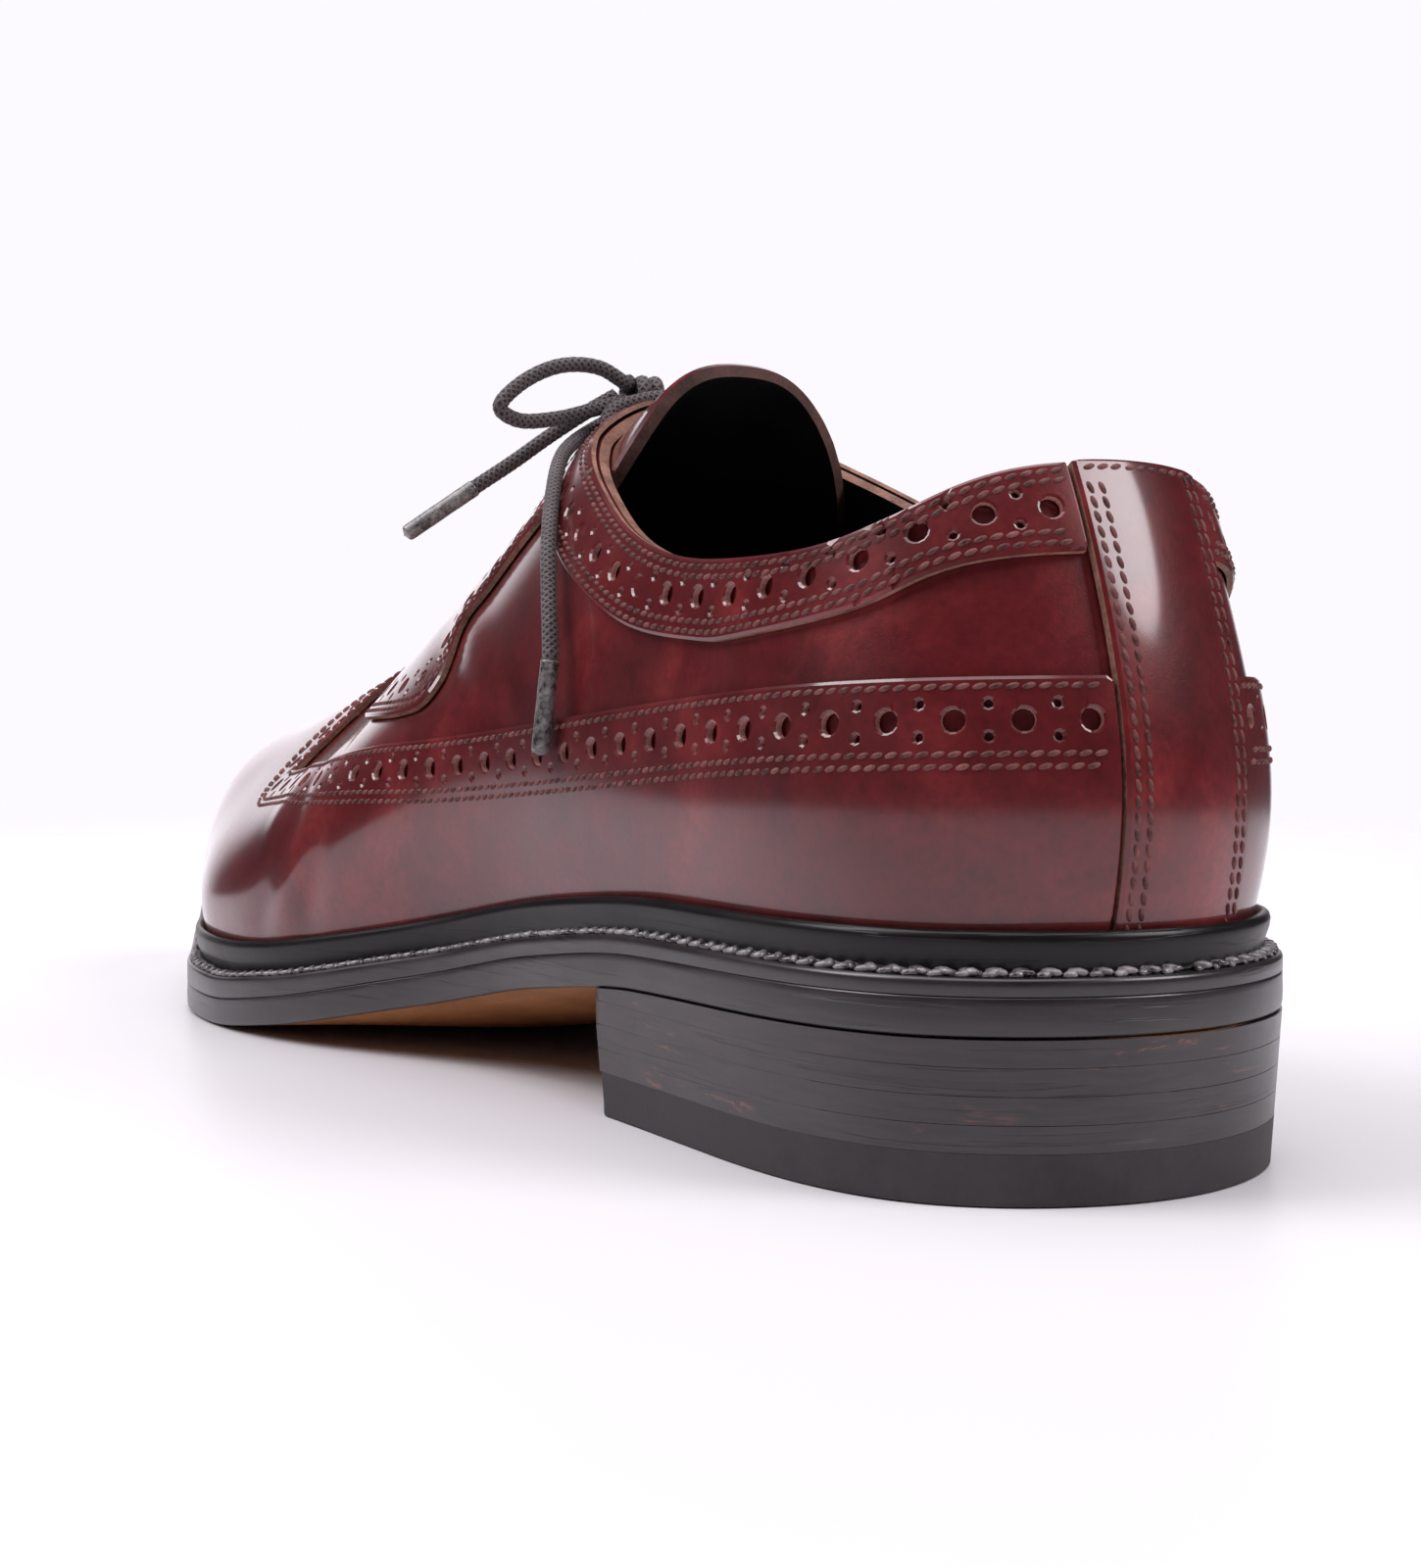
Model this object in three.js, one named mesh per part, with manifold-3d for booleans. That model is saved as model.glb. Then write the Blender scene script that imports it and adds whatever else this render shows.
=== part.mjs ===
// Longwing brogue, left shoe. Millimetres, +Z up.
// X runs from the heel to the toe, +Y is the wearer's outer (lateral) side, Z = 0 is the floor.
// The shoe is drawn with X = 0 at the back of the heel and is moved to the middle of its box at the end.
import * as THREE from 'three';
import { mergeVertices } from 'three/addons/utils/BufferGeometryUtils.js';
import Module from 'manifold-3d';

const wasm = await Module();
wasm.setup();

// Driving dimensions
const LENGTH = 302;           // outsole, back of the heel to the tip of the toe
const BALL_WIDTH = 107;       // unit of the sections in the forepart: outsole width at the ball
const HEEL_WIDTH = 75;        // unit of the sections in the rear: outsole width at the heel
const INSTEP_HEIGHT = 116;    // top of the last above the floor
const HEEL_LENGTH = 89;       // back of the heel to its breast
const HEEL_HEIGHT = 20.5;     // floor to the underside of the outsole at the back
const TOE_SPRING = 8.8;       // floor to the underside of the outsole at the tip
const TOP_PIECE = 6.4;        // rubber piece under the heel
const LIFTS = 4;              // leather lifts between the top piece and the outsole
const HEEL_TAPER = 1.3;       // how far the heel draws in from its seat to the floor
const BREAST_CURVE = 3;       // hollow of the heel breast
const OUTSOLE = 5;
const WELT_REAR = 2.2;        // welt thickness at the heel
const WELT_FRONT = 4.4;       // and at the toe
const WELT_MARGIN = 6.4;      // how far the sole stands out beyond the upper
const LIP_HEIGHT = 6;         // lip of the storm welt above its shelf
const LIP = 1.8;              // lip thickness
const INSOLE = 3;
const WALL = 2.2;             // upper with its lining
const OVERLAY = 1.2;          // wing, collar band and eyestay leather
const STRAP_WIDTH = 20.6;     // heel strap
const STRAP = 1.7;            // heel strap thickness
const STRAP_SHIFT = 2.8;      // middle of the heel strap off the centre line, to the inner side
const TONGUE = 2.4;
const TONGUE_WIDTH = 54;      // across its top edge
const TONGUE_ROOT = 34;       // across its lower end
const FACING_GAP = 11;        // between the eyestays at the top
const THROAT_GAP = 6;         // and at the throat
const EYELETS = 5;
const EYELET_PITCH = 10.6;
const EYELET_INSET = 7.5;     // from the facing's edge to the eyelets
const EYELET_BORE = 3.4;
const LACE = 2.5;
const AGLET = 2.9;            // aglet diameter
const AGLET_LENGTH = 14;
const GAP = 0.3;              // clearance between pieces that touch on the real shoe

// Fineness of the model
const STEPS = 2;              // columns for each section station
const ROWS = 10;              // rows from the feather edge to the ridge
const FITS = 60;              // rounds that carry the surface through its sections
const FAR = 400;              // reach of the cutting solids

// Sections of the last, fanned round the heel and toe centres. x: share of LENGTH, turn: degrees.
// out and inn: half widths of the lateral and medial side at feather, low, mid and shoulder level,
// shares of the local width. rise: feather to shoulder, crown: ridge above the floor, shares of
// INSTEP_HEIGHT. haunchW, haunchH: roundness over the ridge. rimOut, rimInn: shares of WELT_MARGIN.
const COLUMNS = ['x', 'turn', 'out', 'inn', 'rise', 'crown', 'haunchW', 'haunchH', 'rimOut', 'rimInn'];
const SECTIONS = [
  [0.126, 0, [0.42, 0.461, 0.413, 0.293], [0.42, 0.461, 0.413, 0.293], 0.569, 0.914, 0.5, 0.8, 1, 1],
  [0.126, 28, [0.42, 0.461, 0.416, 0.301], [0.42, 0.461, 0.416, 0.301], 0.569, 0.914, 0.5, 0.8, 1, 1],
  [0.126, 56, [0.42, 0.464, 0.424, 0.328], [0.42, 0.464, 0.424, 0.328], 0.56, 0.922, 0.5, 0.8, 1, 1],
  [0.139, 82, [0.42, 0.467, 0.435, 0.36], [0.42, 0.461, 0.429, 0.36], 0.552, 0.945, 0.5, 0.8, 0.95, 0.95],
  [0.192, 90, [0.413, 0.459, 0.438, 0.38], [0.406, 0.446, 0.427, 0.374], 0.526, 0.975, 0.5, 0.8, 0.92, 0.88],
  [0.252, 90, [0.38, 0.429, 0.419, 0.368], [0.356, 0.4, 0.397, 0.362], 0.509, 1.01, 0.5, 0.8, 0.9, 0.82],
  [0.318, 90, [0.339, 0.391, 0.393, 0.344], [0.289, 0.344, 0.367, 0.333], 0.5, 1.022, 0.45, 0.8, 0.9, 0.75],
  [0.391, 90, [0.306, 0.363, 0.365, 0.301], [0.231, 0.301, 0.331, 0.286],
    0.517, 0.966, 0.45, 0.75, 0.9, 0.72],
  [0.47, 90, [0.32, 0.376, 0.367, 0.268], [0.254, 0.316, 0.329, 0.244], 0.5, 0.853, 0.45, 0.72, 0.95, 0.85],
  [0.556, 90, [0.402, 0.439, 0.402, 0.266], [0.327, 0.374, 0.355, 0.243], 0.457, 0.724, 0.45, 0.72, 1.05, 1],
  [0.642, 90, [0.453, 0.481, 0.43, 0.28], [0.383, 0.421, 0.388, 0.262], 0.388, 0.612, 0.45, 0.76, 1.1, 1.15],
  [0.728, 90, [0.453, 0.479, 0.435, 0.308], [0.402, 0.43, 0.402, 0.294], 0.336, 0.545, 0.45, 0.8, 1.1, 1.25],
  [0.798, 90, [0.402, 0.428, 0.41, 0.315], [0.369, 0.396, 0.382, 0.3], 0.312, 0.503, 0.45, 0.82, 1.1, 1.15],
  [0.831, 112, [0.35, 0.374, 0.366, 0.294], [0.332, 0.355, 0.348, 0.286], 0.296, 0.49, 0.5, 0.84, 1.08, 1.08],
  [0.851, 135, [0.327, 0.348, 0.34, 0.274], [0.322, 0.342, 0.334, 0.27], 0.283, 0.481, 0.5, 0.86, 1.05, 1.05],
  [0.861, 158, [0.322, 0.34, 0.328, 0.258], [0.321, 0.338, 0.326, 0.256], 0.27, 0.474, 0.5, 0.86, 1.05, 1.05],
  [0.864, 180, [0.32, 0.336, 0.322, 0.248], [0.32, 0.336, 0.322, 0.248], 0.262, 0.47, 0.5, 0.86, 1.05, 1.05],
].map(row => Object.fromEntries(COLUMNS.map((name, i) => [name, row[i]])));
const LOW = 0.30;             // share of the rise where the low level lies
const MID = 0.64;             // and the mid level
const WIDTH_FROM = 0.15;      // share of LENGTH where the unit of width leaves the heel's
const WIDTH_TO = 0.50;        // and where it has reached the ball's
const TOE_SWING = 0.069;      // inward swing of the toe, share of BALL_WIDTH
const SWING_FROM = 0.60;      // share of LENGTH where the swing begins

// Underside of the outsole in side view. x: share of LENGTH, heel and toe: shares of
// HEEL_HEIGHT and TOE_SPRING. The forepart rests flat where both are nil.
const UNDERSIDE = [
  { x: 0.00, heel: 1.00, toe: 0 },
  { x: 0.12, heel: 0.99, toe: 0 },
  { x: 0.24, heel: 0.96, toe: 0 },
  { x: 0.36, heel: 0.78, toe: 0 },
  { x: 0.48, heel: 0.44, toe: 0 },
  { x: 0.60, heel: 0.11, toe: 0 },
  { x: 0.68, heel: 0, toe: 0 },
  { x: 0.77, heel: 0, toe: 0 },
  { x: 0.90, heel: 0, toe: 0.40 },
  { x: 1.00, heel: 0, toe: 1 },
];

// Edges in side view, from the heel forward. x: share of LENGTH, z: share of INSTEP_HEIGHT.
const TOPLINE = [
  { x: -0.10, out: 0.785, inn: 0.785 },
  { x: 0.020, out: 0.785, inn: 0.785 },
  { x: 0.052, out: 0.778, inn: 0.779 },
  { x: 0.087, out: 0.722, inn: 0.740 },
  { x: 0.125, out: 0.694, inn: 0.722 },
  { x: 0.190, out: 0.690, inn: 0.720 },
  { x: 0.235, out: 0.703, inn: 0.733 },
  { x: 0.280, out: 0.739, inn: 0.765 },
  { x: 0.325, out: 0.800, inn: 0.815 },
  { x: 0.370, out: 0.868, inn: 0.872 },
  { x: 0.400, out: 0.925, inn: 0.925 },
  { x: 0.415, out: 1.100, inn: 1.100 },
];
const WING_EDGE = [
  { x: -0.10, z: 0.556 },
  { x: 0.060, z: 0.550 },
  { x: 0.193, z: 0.531 },
  { x: 0.328, z: 0.499 },
  { x: 0.437, z: 0.471 },
  { x: 0.515, z: 0.452 },
  { x: 0.570, z: 0.432 },
  { x: 0.640, z: 0.408 },
  { x: 0.720, z: 0.385 },
];
// The wing's front line over the vamp, seen from above. y: share of BALL_WIDTH.
const WING_PEAK = [
  { x: 0.630, y: 0.480 },
  { x: 0.664, y: 0.405 },
  { x: 0.683, y: 0.345 },
  { x: 0.690, y: 0.295 },
  { x: 0.678, y: 0.225 },
  { x: 0.648, y: 0.130 },
  { x: 0.618, y: 0.040 },
  { x: 0.610, y: -0.010 },
  { x: 0.617, y: -0.060 },
  { x: 0.645, y: -0.140 },
  { x: 0.671, y: -0.220 },
  { x: 0.681, y: -0.275 },
  { x: 0.676, y: -0.320 },
  { x: 0.658, y: -0.375 },
  { x: 0.625, y: -0.440 },
];
// Lower edge of the collar band and rear edge of the eyestay, which meet in a point.
const BAND_EDGE = [
  { x: -0.10, z: 0.690 },
  { x: 0.036, z: 0.683 },
  { x: 0.096, z: 0.624 },
  { x: 0.167, z: 0.598 },
  { x: 0.205, z: 0.597 },
  { x: 0.263, z: 0.618 },
  { x: 0.325, z: 0.681 },
  { x: 0.372, z: 0.745 },
  { x: 0.398, z: 0.778 },
];
const EYESTAY_EDGE = [
  { x: 0.404, z: 0.778 },
  { x: 0.440, z: 0.718 },
  { x: 0.466, z: 0.650 },
  { x: 0.472, z: 0.590 },
  { x: 0.468, z: 0.545 },
  { x: 0.478, z: 0.512 },
  { x: 0.510, z: 0.497 },
  { x: 0.550, z: 0.492 },
  { x: 0.600, z: 0.488 },
];
const THROAT = 0.585;         // front end of the facings, share of LENGTH
const FACING_TOP = 0.36;      // where the slit between the facings opens into the collar
const FIRST_EYELET = 0.412;   // eyelet nearest the collar, share of LENGTH
const TONGUE_TOP = 0.345;     // top edge of the tongue
const TONGUE_END = 0.615;     // its lower end, under the vamp
const TONGUE_UNDER = 0.66;    // height below which the tongue never reaches, at its top edge
const THROAT_UNDER = 0.42;    // and at its lower end

function smooth(t) {
  const s = Math.min(Math.max(t, 0), 1);
  return s * s * (3 - 2 * s);
}

function mix(a, b, t) {
  return a + (b - a) * t;
}

// Smooth curve without overshoot through rows of a table (Fritsch and Carlson slopes).
function monotone(xs, ys, x) {
  const n = xs.length;
  const slopes = xs.slice(1).map((v, i) => (ys[i + 1] - ys[i]) / (v - xs[i]));
  const tangent = ys.map((_, i) => {
    if (i === 0 || i === n - 1 || slopes[i - 1] * slopes[i] <= 0) return 0;
    return 2 * slopes[i - 1] * slopes[i] / (slopes[i - 1] + slopes[i]);
  });
  const at = Math.min(Math.max(x, xs[0]), xs[n - 1]);
  let i = 0;
  while (i < n - 2 && at > xs[i + 1]) i += 1;
  const h = xs[i + 1] - xs[i];
  const t = (at - xs[i]) / h;
  const a = (1 + 2 * t) * (1 - t) * (1 - t);
  const b = t * (1 - t) * (1 - t);
  const c = t * t * (3 - 2 * t);
  const d = t * t * (t - 1);
  return a * ys[i] + b * h * tangent[i] + c * ys[i + 1] + d * h * tangent[i + 1];
}

function underside(x) {
  const heights = UNDERSIDE.map(row => row.heel * HEEL_HEIGHT + row.toe * TOE_SPRING);
  return monotone(UNDERSIDE.map(row => row.x * LENGTH), heights, x);
}

function weltThickness(x) {
  return mix(WELT_REAR, WELT_FRONT, smooth(x / LENGTH));
}

function seat(x) {
  return underside(x) + OUTSOLE + GAP + weltThickness(x);
}

function middle(x) {
  return -TOE_SWING * BALL_WIDTH * smooth((x / LENGTH - SWING_FROM) / (1 - SWING_FROM));
}

function widthUnit(x) {
  return mix(HEEL_WIDTH, BALL_WIDTH, smooth((x / LENGTH - WIDTH_FROM) / (WIDTH_TO - WIDTH_FROM)));
}

// The last as a smooth surface: u counts the stations round the shoe from the back of the heel over
// the lateral side to the toe and back over the medial side, v the levels from the feather edge up.
const LAST = SECTIONS.length - 1;
const AROUND = 2 * LAST;
const LEVELS = 6;
const TOP = LEVELS - 1;

function stationOf(index) {
  const turned = ((index % AROUND) + AROUND) % AROUND;
  const lateral = turned <= LAST;
  return { section: SECTIONS[lateral ? turned : AROUND - turned], side: lateral ? 1 : -1 };
}

function fanPoint(section, side, radius, z) {
  const x = section.x * LENGTH;
  const turn = THREE.MathUtils.degToRad(section.turn);
  return new THREE.Vector3(x - Math.cos(turn) * radius, middle(x) + side * Math.sin(turn) * radius, z);
}

function sectionPoints(index) {
  const { section, side } = stationOf(index);
  const unit = widthUnit(section.x * LENGTH);
  const radii = (side > 0 ? section.out : section.inn).map(share => share * unit);
  const foot = fanPoint(section, side, radii[0], 0);
  const z0 = seat(foot.x) + GAP;
  const rise = section.rise * INSTEP_HEIGHT;
  const crown = section.crown * INSTEP_HEIGHT;
  const shoulder = z0 + rise;
  return [
    fanPoint(section, side, radii[0], z0),
    fanPoint(section, side, radii[1], z0 + LOW * rise),
    fanPoint(section, side, radii[2], z0 + MID * rise),
    fanPoint(section, side, radii[3], shoulder),
    fanPoint(section, side, radii[3] * (1 - section.haunchW), mix(shoulder, crown, section.haunchH)),
    fanPoint(section, side, 0, crown),
  ];
}

// Control points with one more below the feather edge and the mirrored haunch beyond the ridge.
function withEnds(control) {
  return control.map((column, i) => {
    const mirrored = control[(AROUND - i) % AROUND];
    const below = column[0].clone().multiplyScalar(2).sub(column[1]);
    return [below, ...column, mirrored[TOP - 1]];
  });
}

function spread(a, b, c) {
  return a.clone().add(c).addScaledVector(b, 4).divideScalar(6);
}

function fitControl() {
  const wanted = Array.from({ length: AROUND }, (_, i) => sectionPoints(i));
  const control = wanted.map(column => column.map(point => point.clone()));
  for (let round = 0; round < FITS; round += 1) {
    const ended = withEnds(control);
    const across = ended.map(column => wanted[0]
      .map((_, j) => spread(column[j], column[j + 1], column[j + 2])));
    control.forEach((column, i) => column.forEach((point, j) => {
      const before = across[(i + AROUND - 1) % AROUND][j];
      const after = across[(i + 1) % AROUND][j];
      point.add(wanted[i][j]).sub(spread(before, across[i][j], after));
    }));
  }
  return withEnds(control);
}

const CONTROL = fitControl();

function weights(t) {
  const s = 1 - t;
  return [s * s * s / 6, (3 * t * t * t - 6 * t * t + 4) / 6, (-3 * t * t * t + 3 * t * t + 3 * t + 1) / 6,
    t * t * t / 6];
}

function surface(u, v) {
  const iu = Math.floor(u);
  const iv = Math.min(Math.max(Math.floor(v), 0), TOP - 1);
  const wu = weights(u - iu);
  const wv = weights(v - iv);
  const point = new THREE.Vector3();
  for (let a = 0; a < 4; a += 1) {
    const column = CONTROL[(((iu - 1 + a) % AROUND) + AROUND) % AROUND];
    for (let b = 0; b < 4; b += 1) point.addScaledVector(column[iv + b], wu[a] * wv[b]);
  }
  return point;
}

// Outward direction of the surface. At the feather edge it lies level.
const NUDGE = 0.02;
const NEAR_RIDGE = 0.12;

function outward(u, v) {
  const at = Math.min(v, TOP - NEAR_RIDGE);
  const along = surface(u + NUDGE, at).sub(surface(u - NUDGE, at));
  const up = surface(u, at + NUDGE).sub(surface(u, Math.max(at - NUDGE, 0)));
  const normal = up.cross(along).normalize();
  if (v >= TOP) normal.setY(0).normalize();
  if (v === 0) normal.setZ(0).normalize();
  return normal;
}

// Point raised over the surface. The feather edge stays just clear of the welt.
function raised(u, v, offset) {
  const point = surface(u, v).addScaledVector(outward(u, v), offset);
  if (v === 0) point.setZ(seat(point.x) + GAP);
  return point;
}

// Level where the surface of one station has the height z.
const HALVINGS = 30;

function levelAt(u, z) {
  let low = 0;
  let high = TOP;
  for (let i = 0; i < HALVINGS; i += 1) {
    const half = (low + high) / 2;
    if (surface(u, half).z > z) high = half;
    else low = half;
  }
  return (low + high) / 2;
}

// Station and level of the surface point that lies at x, y seen from above: the nearest point of a
// coarse net over the top levels, then ever smaller steps.
const NET_PER_STATION = 8;
const NET_PER_LEVEL = 20;
const NET_LEVELS = 2;
const CLOSER_ROUNDS = 12;

function overPlan(x, y) {
  let best = { u: 0, v: TOP, miss: Infinity };
  const side = y >= middle(x) ? 1 : -1;
  for (let i = 0; i <= LAST * NET_PER_STATION; i += 1) {
    for (let j = 0; j <= NET_LEVELS * NET_PER_LEVEL; j += 1) {
      const u = side * i / NET_PER_STATION;
      const v = TOP - j / NET_PER_LEVEL;
      const point = surface(u, v);
      const miss = Math.hypot(point.x - x, point.y - y);
      if (miss < best.miss) best = { u, v, miss };
    }
  }
  for (let round = 1; round <= CLOSER_ROUNDS; round += 1) {
    const step = 1 / (2 * NET_PER_STATION * round);
    for (const [du, dv] of [[step, 0], [-step, 0], [0, step], [0, -step]]) {
      const u = best.u + du;
      const v = Math.min(best.v + dv, TOP);
      const point = surface(u, v);
      const miss = Math.hypot(point.x - x, point.y - y);
      if (miss < best.miss) best = { u, v, miss };
    }
  }
  return best;
}

// Solids
function toGeometry(points, triangles) {
  const geometry = new THREE.BufferGeometry();
  const flat = points.flatMap(p => [p.x, p.y, p.z]);
  geometry.setAttribute('position', new THREE.Float32BufferAttribute(flat, 3));
  geometry.setIndex(triangles);
  return geometry;
}

const SAME_POINT = 1e-4;

function toSolid(geometry) {
  geometry.deleteAttribute('normal');
  geometry.deleteAttribute('uv');
  const merged = mergeVertices(geometry, SAME_POINT);
  return new wasm.Manifold(new wasm.Mesh({
    numProp: 3,
    vertProperties: new Float32Array(merged.attributes.position.array),
    triVerts: new Uint32Array(merged.index.array),
  }));
}

function toMeshGeometry(solid) {
  const mesh = solid.getMesh();
  const geometry = new THREE.BufferGeometry();
  geometry.setAttribute('position', new THREE.BufferAttribute(new Float32Array(mesh.vertProperties), 3));
  geometry.setIndex(new THREE.BufferAttribute(new Uint32Array(mesh.triVerts), 1));
  geometry.computeVertexNormals();
  return geometry;
}

const COUNT = AROUND * STEPS;

// Shell that follows the last between two offsets, closed over the top and open underneath.
function hood(inner, outer) {
  const points = [];
  const index = new Map();
  const place = (layer, i, j) => {
    const mirrored = j === ROWS && i > COUNT / 2 ? COUNT - i : i;
    const key = `${layer} ${mirrored % COUNT} ${j}`;
    if (!index.has(key)) {
      index.set(key, points.length);
      points.push(raised((mirrored % COUNT) / STEPS, j * TOP / ROWS, layer ? outer : inner));
    }
    return index.get(key);
  };
  const triangles = [];
  const quad = (a, b, c, d) => {
    if (a !== b && b !== c && a !== c) triangles.push(a, b, c);
    if (a !== c && c !== d && a !== d) triangles.push(a, c, d);
  };
  for (let i = 0; i < COUNT; i += 1) {
    for (let j = 0; j < ROWS; j += 1) {
      quad(place(1, i, j), place(1, i, j + 1), place(1, i + 1, j + 1), place(1, i + 1, j));
      quad(place(0, i, j), place(0, i + 1, j), place(0, i + 1, j + 1), place(0, i, j + 1));
    }
    quad(place(0, i, 0), place(1, i, 0), place(1, i + 1, 0), place(0, i + 1, 0));
  }
  return toSolid(toGeometry(points, triangles));
}

// Outline of the sole: the feather edge moved out by the stations' shares of a margin.
function rimShare(index) {
  const { section, side } = stationOf(index);
  return side > 0 ? section.rimOut : section.rimInn;
}

function rim(u, margin) {
  const low = Math.floor(u);
  return raised(u, 0, margin * mix(rimShare(low), rimShare(low + 1), u - low));
}

// Plate with an outline beside the last, whose two faces follow heights along x.
function plate(outline, bottom, top) {
  const points = [];
  const half = COUNT / 2;
  for (let i = 0; i < COUNT; i += 1) {
    const p = outline(i / STEPS);
    points.push(new THREE.Vector3(p.x, p.y, bottom(p.x)), new THREE.Vector3(p.x, p.y, top(p.x)));
  }
  const at = (i, layer) => 2 * ((i + COUNT) % COUNT) + layer;
  const triangles = [];
  for (let i = 0; i < COUNT; i += 1) {
    triangles.push(at(i, 0), at(i, 1), at(i + 1, 1), at(i, 0), at(i + 1, 1), at(i + 1, 0));
  }
  for (let i = 0; i < half; i += 1) {
    const a = i;
    const b = i + 1;
    if (i > 0) {
      triangles.push(at(a, 1), at(-a, 1), at(b, 1), at(a, 0), at(b, 0), at(-a, 0));
    }
    if (i < half - 1) {
      triangles.push(at(-a, 1), at(-b, 1), at(b, 1), at(-a, 0), at(b, 0), at(-b, 0));
    }
  }
  return toSolid(toGeometry(points, triangles));
}

// Closed ring whose cross section is given for each station.
function ring(profile) {
  const sections = Array.from({ length: COUNT }, (_, i) => profile(i / STEPS));
  const size = sections[0].length;
  const triangles = [];
  for (let i = 0; i < COUNT; i += 1) {
    for (let k = 0; k < size; k += 1) {
      const a = i * size + k;
      const b = i * size + (k + 1) % size;
      const c = ((i + 1) % COUNT) * size + (k + 1) % size;
      const d = ((i + 1) % COUNT) * size + k;
      triangles.push(a, c, b, a, d, c);
    }
  }
  return toSolid(toGeometry(sections.flat(), triangles));
}

function prism(points, depth) {
  return new THREE.ExtrudeGeometry(new THREE.Shape(points), { depth, bevelEnabled: false, steps: 1 });
}

// Prism of a side view outline (x, z) between two y.
function sidePrism(outline, from, to) {
  const geometry = prism(outline, to - from);
  geometry.rotateX(Math.PI / 2);
  geometry.translate(0, to, 0);
  return toSolid(geometry);
}

// Prism of a plan outline (x, y) between two z.
function planPrism(outline, from, to) {
  const geometry = prism(outline, to - from);
  geometry.translate(0, 0, from);
  return toSolid(geometry);
}

function curveThrough(points, divisions) {
  const curve = new THREE.SplineCurve(points);
  return curve.getPoints(divisions);
}

function sideCurve(table, column, divisions) {
  const points = table.map(row => new THREE.Vector2(row.x * LENGTH, row[column] * INSTEP_HEIGHT));
  return curveThrough(points, divisions);
}

// Everything above a side view curve.
function above(curve, from, to) {
  const last = curve[curve.length - 1];
  return sidePrism([...curve, new THREE.Vector2(last.x, FAR), new THREE.Vector2(curve[0].x, FAR)], from, to);
}

const CURVE_STEPS = 26;

function collarCutter() {
  const lateral = above(sideCurve(TOPLINE, 'out', CURVE_STEPS), 0, FAR);
  const medial = above(sideCurve(TOPLINE, 'inn', CURVE_STEPS), -FAR, 0);
  return lateral.add(medial);
}

const THROAT_ROUND = 6;

function slitCutter() {
  const start = FACING_TOP * LENGTH;
  const end = THROAT * LENGTH;
  const outline = [new THREE.Vector2(start, -FACING_GAP / 2)];
  for (let i = 0; i <= THROAT_ROUND; i += 1) {
    const angle = -Math.PI / 2 + Math.PI * i / THROAT_ROUND;
    const r = THROAT_GAP / 2;
    outline.push(new THREE.Vector2(end - r + r * Math.cos(angle), r * Math.sin(angle)));
  }
  outline.push(new THREE.Vector2(start, FACING_GAP / 2));
  return planPrism(outline, 0, FAR);
}

function facingHalfGap(x) {
  const share = (x / LENGTH - FACING_TOP) / (THROAT - FACING_TOP);
  return mix(FACING_GAP, THROAT_GAP, share) / 2;
}

const BORE_SIDES = 8;
const BORE_REACH = 6 * WALL;

function eyeletPlace(index, side) {
  const x = FIRST_EYELET * LENGTH + index * EYELET_PITCH;
  const y = side * (facingHalfGap(x) + EYELET_INSET);
  return overPlan(x, y);
}

function eyeletCutter(index, side) {
  const { u, v } = eyeletPlace(index, side);
  const geometry = new THREE.CylinderGeometry(EYELET_BORE / 2, EYELET_BORE / 2, BORE_REACH, BORE_SIDES);
  const turn = new THREE.Quaternion().setFromUnitVectors(new THREE.Vector3(0, 1, 0), outward(u, v));
  geometry.applyQuaternion(turn);
  const centre = surface(u, v);
  geometry.translate(centre.x, centre.y, centre.z);
  return toSolid(geometry);
}

function eyeletCutters(side) {
  let all = eyeletCutter(0, side);
  for (let i = 1; i < EYELETS; i += 1) all = all.add(eyeletCutter(i, side));
  return all;
}

// Upper and overlays
const OPENING = collarCutter().add(slitCutter());

function upper() {
  return hood(-WALL, 0).subtract(OPENING).subtract(eyeletCutters(1)).subtract(eyeletCutters(-1));
}

function strapZone(clearance) {
  const inner = -STRAP_SHIFT - STRAP_WIDTH / 2 - clearance;
  const outer = -STRAP_SHIFT + STRAP_WIDTH / 2 + clearance;
  const reach = SECTIONS[0].x * LENGTH;
  return planPrism([new THREE.Vector2(-FAR, inner), new THREE.Vector2(reach, inner),
    new THREE.Vector2(reach, outer), new THREE.Vector2(-FAR, outer)], -FAR, FAR);
}

const PEAK_STEPS = 40;

function vampOpening() {
  const peak = WING_PEAK.map(row => new THREE.Vector2(row.x * LENGTH, row.y * BALL_WIDTH));
  const line = curveThrough(peak, PEAK_STEPS);
  const first = line[0];
  const last = line[line.length - 1];
  const plan = planPrism([new THREE.Vector2(-FAR, -FAR), new THREE.Vector2(last.x, -FAR), ...line.reverse(),
    new THREE.Vector2(first.x, FAR), new THREE.Vector2(-FAR, FAR)], 0, FAR);
  return plan.intersect(above(sideCurve(WING_EDGE, 'z', CURVE_STEPS), -FAR, FAR));
}

function longwing() {
  return hood(GAP, GAP + OVERLAY).subtract(vampOpening()).subtract(strapZone(GAP));
}

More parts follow.
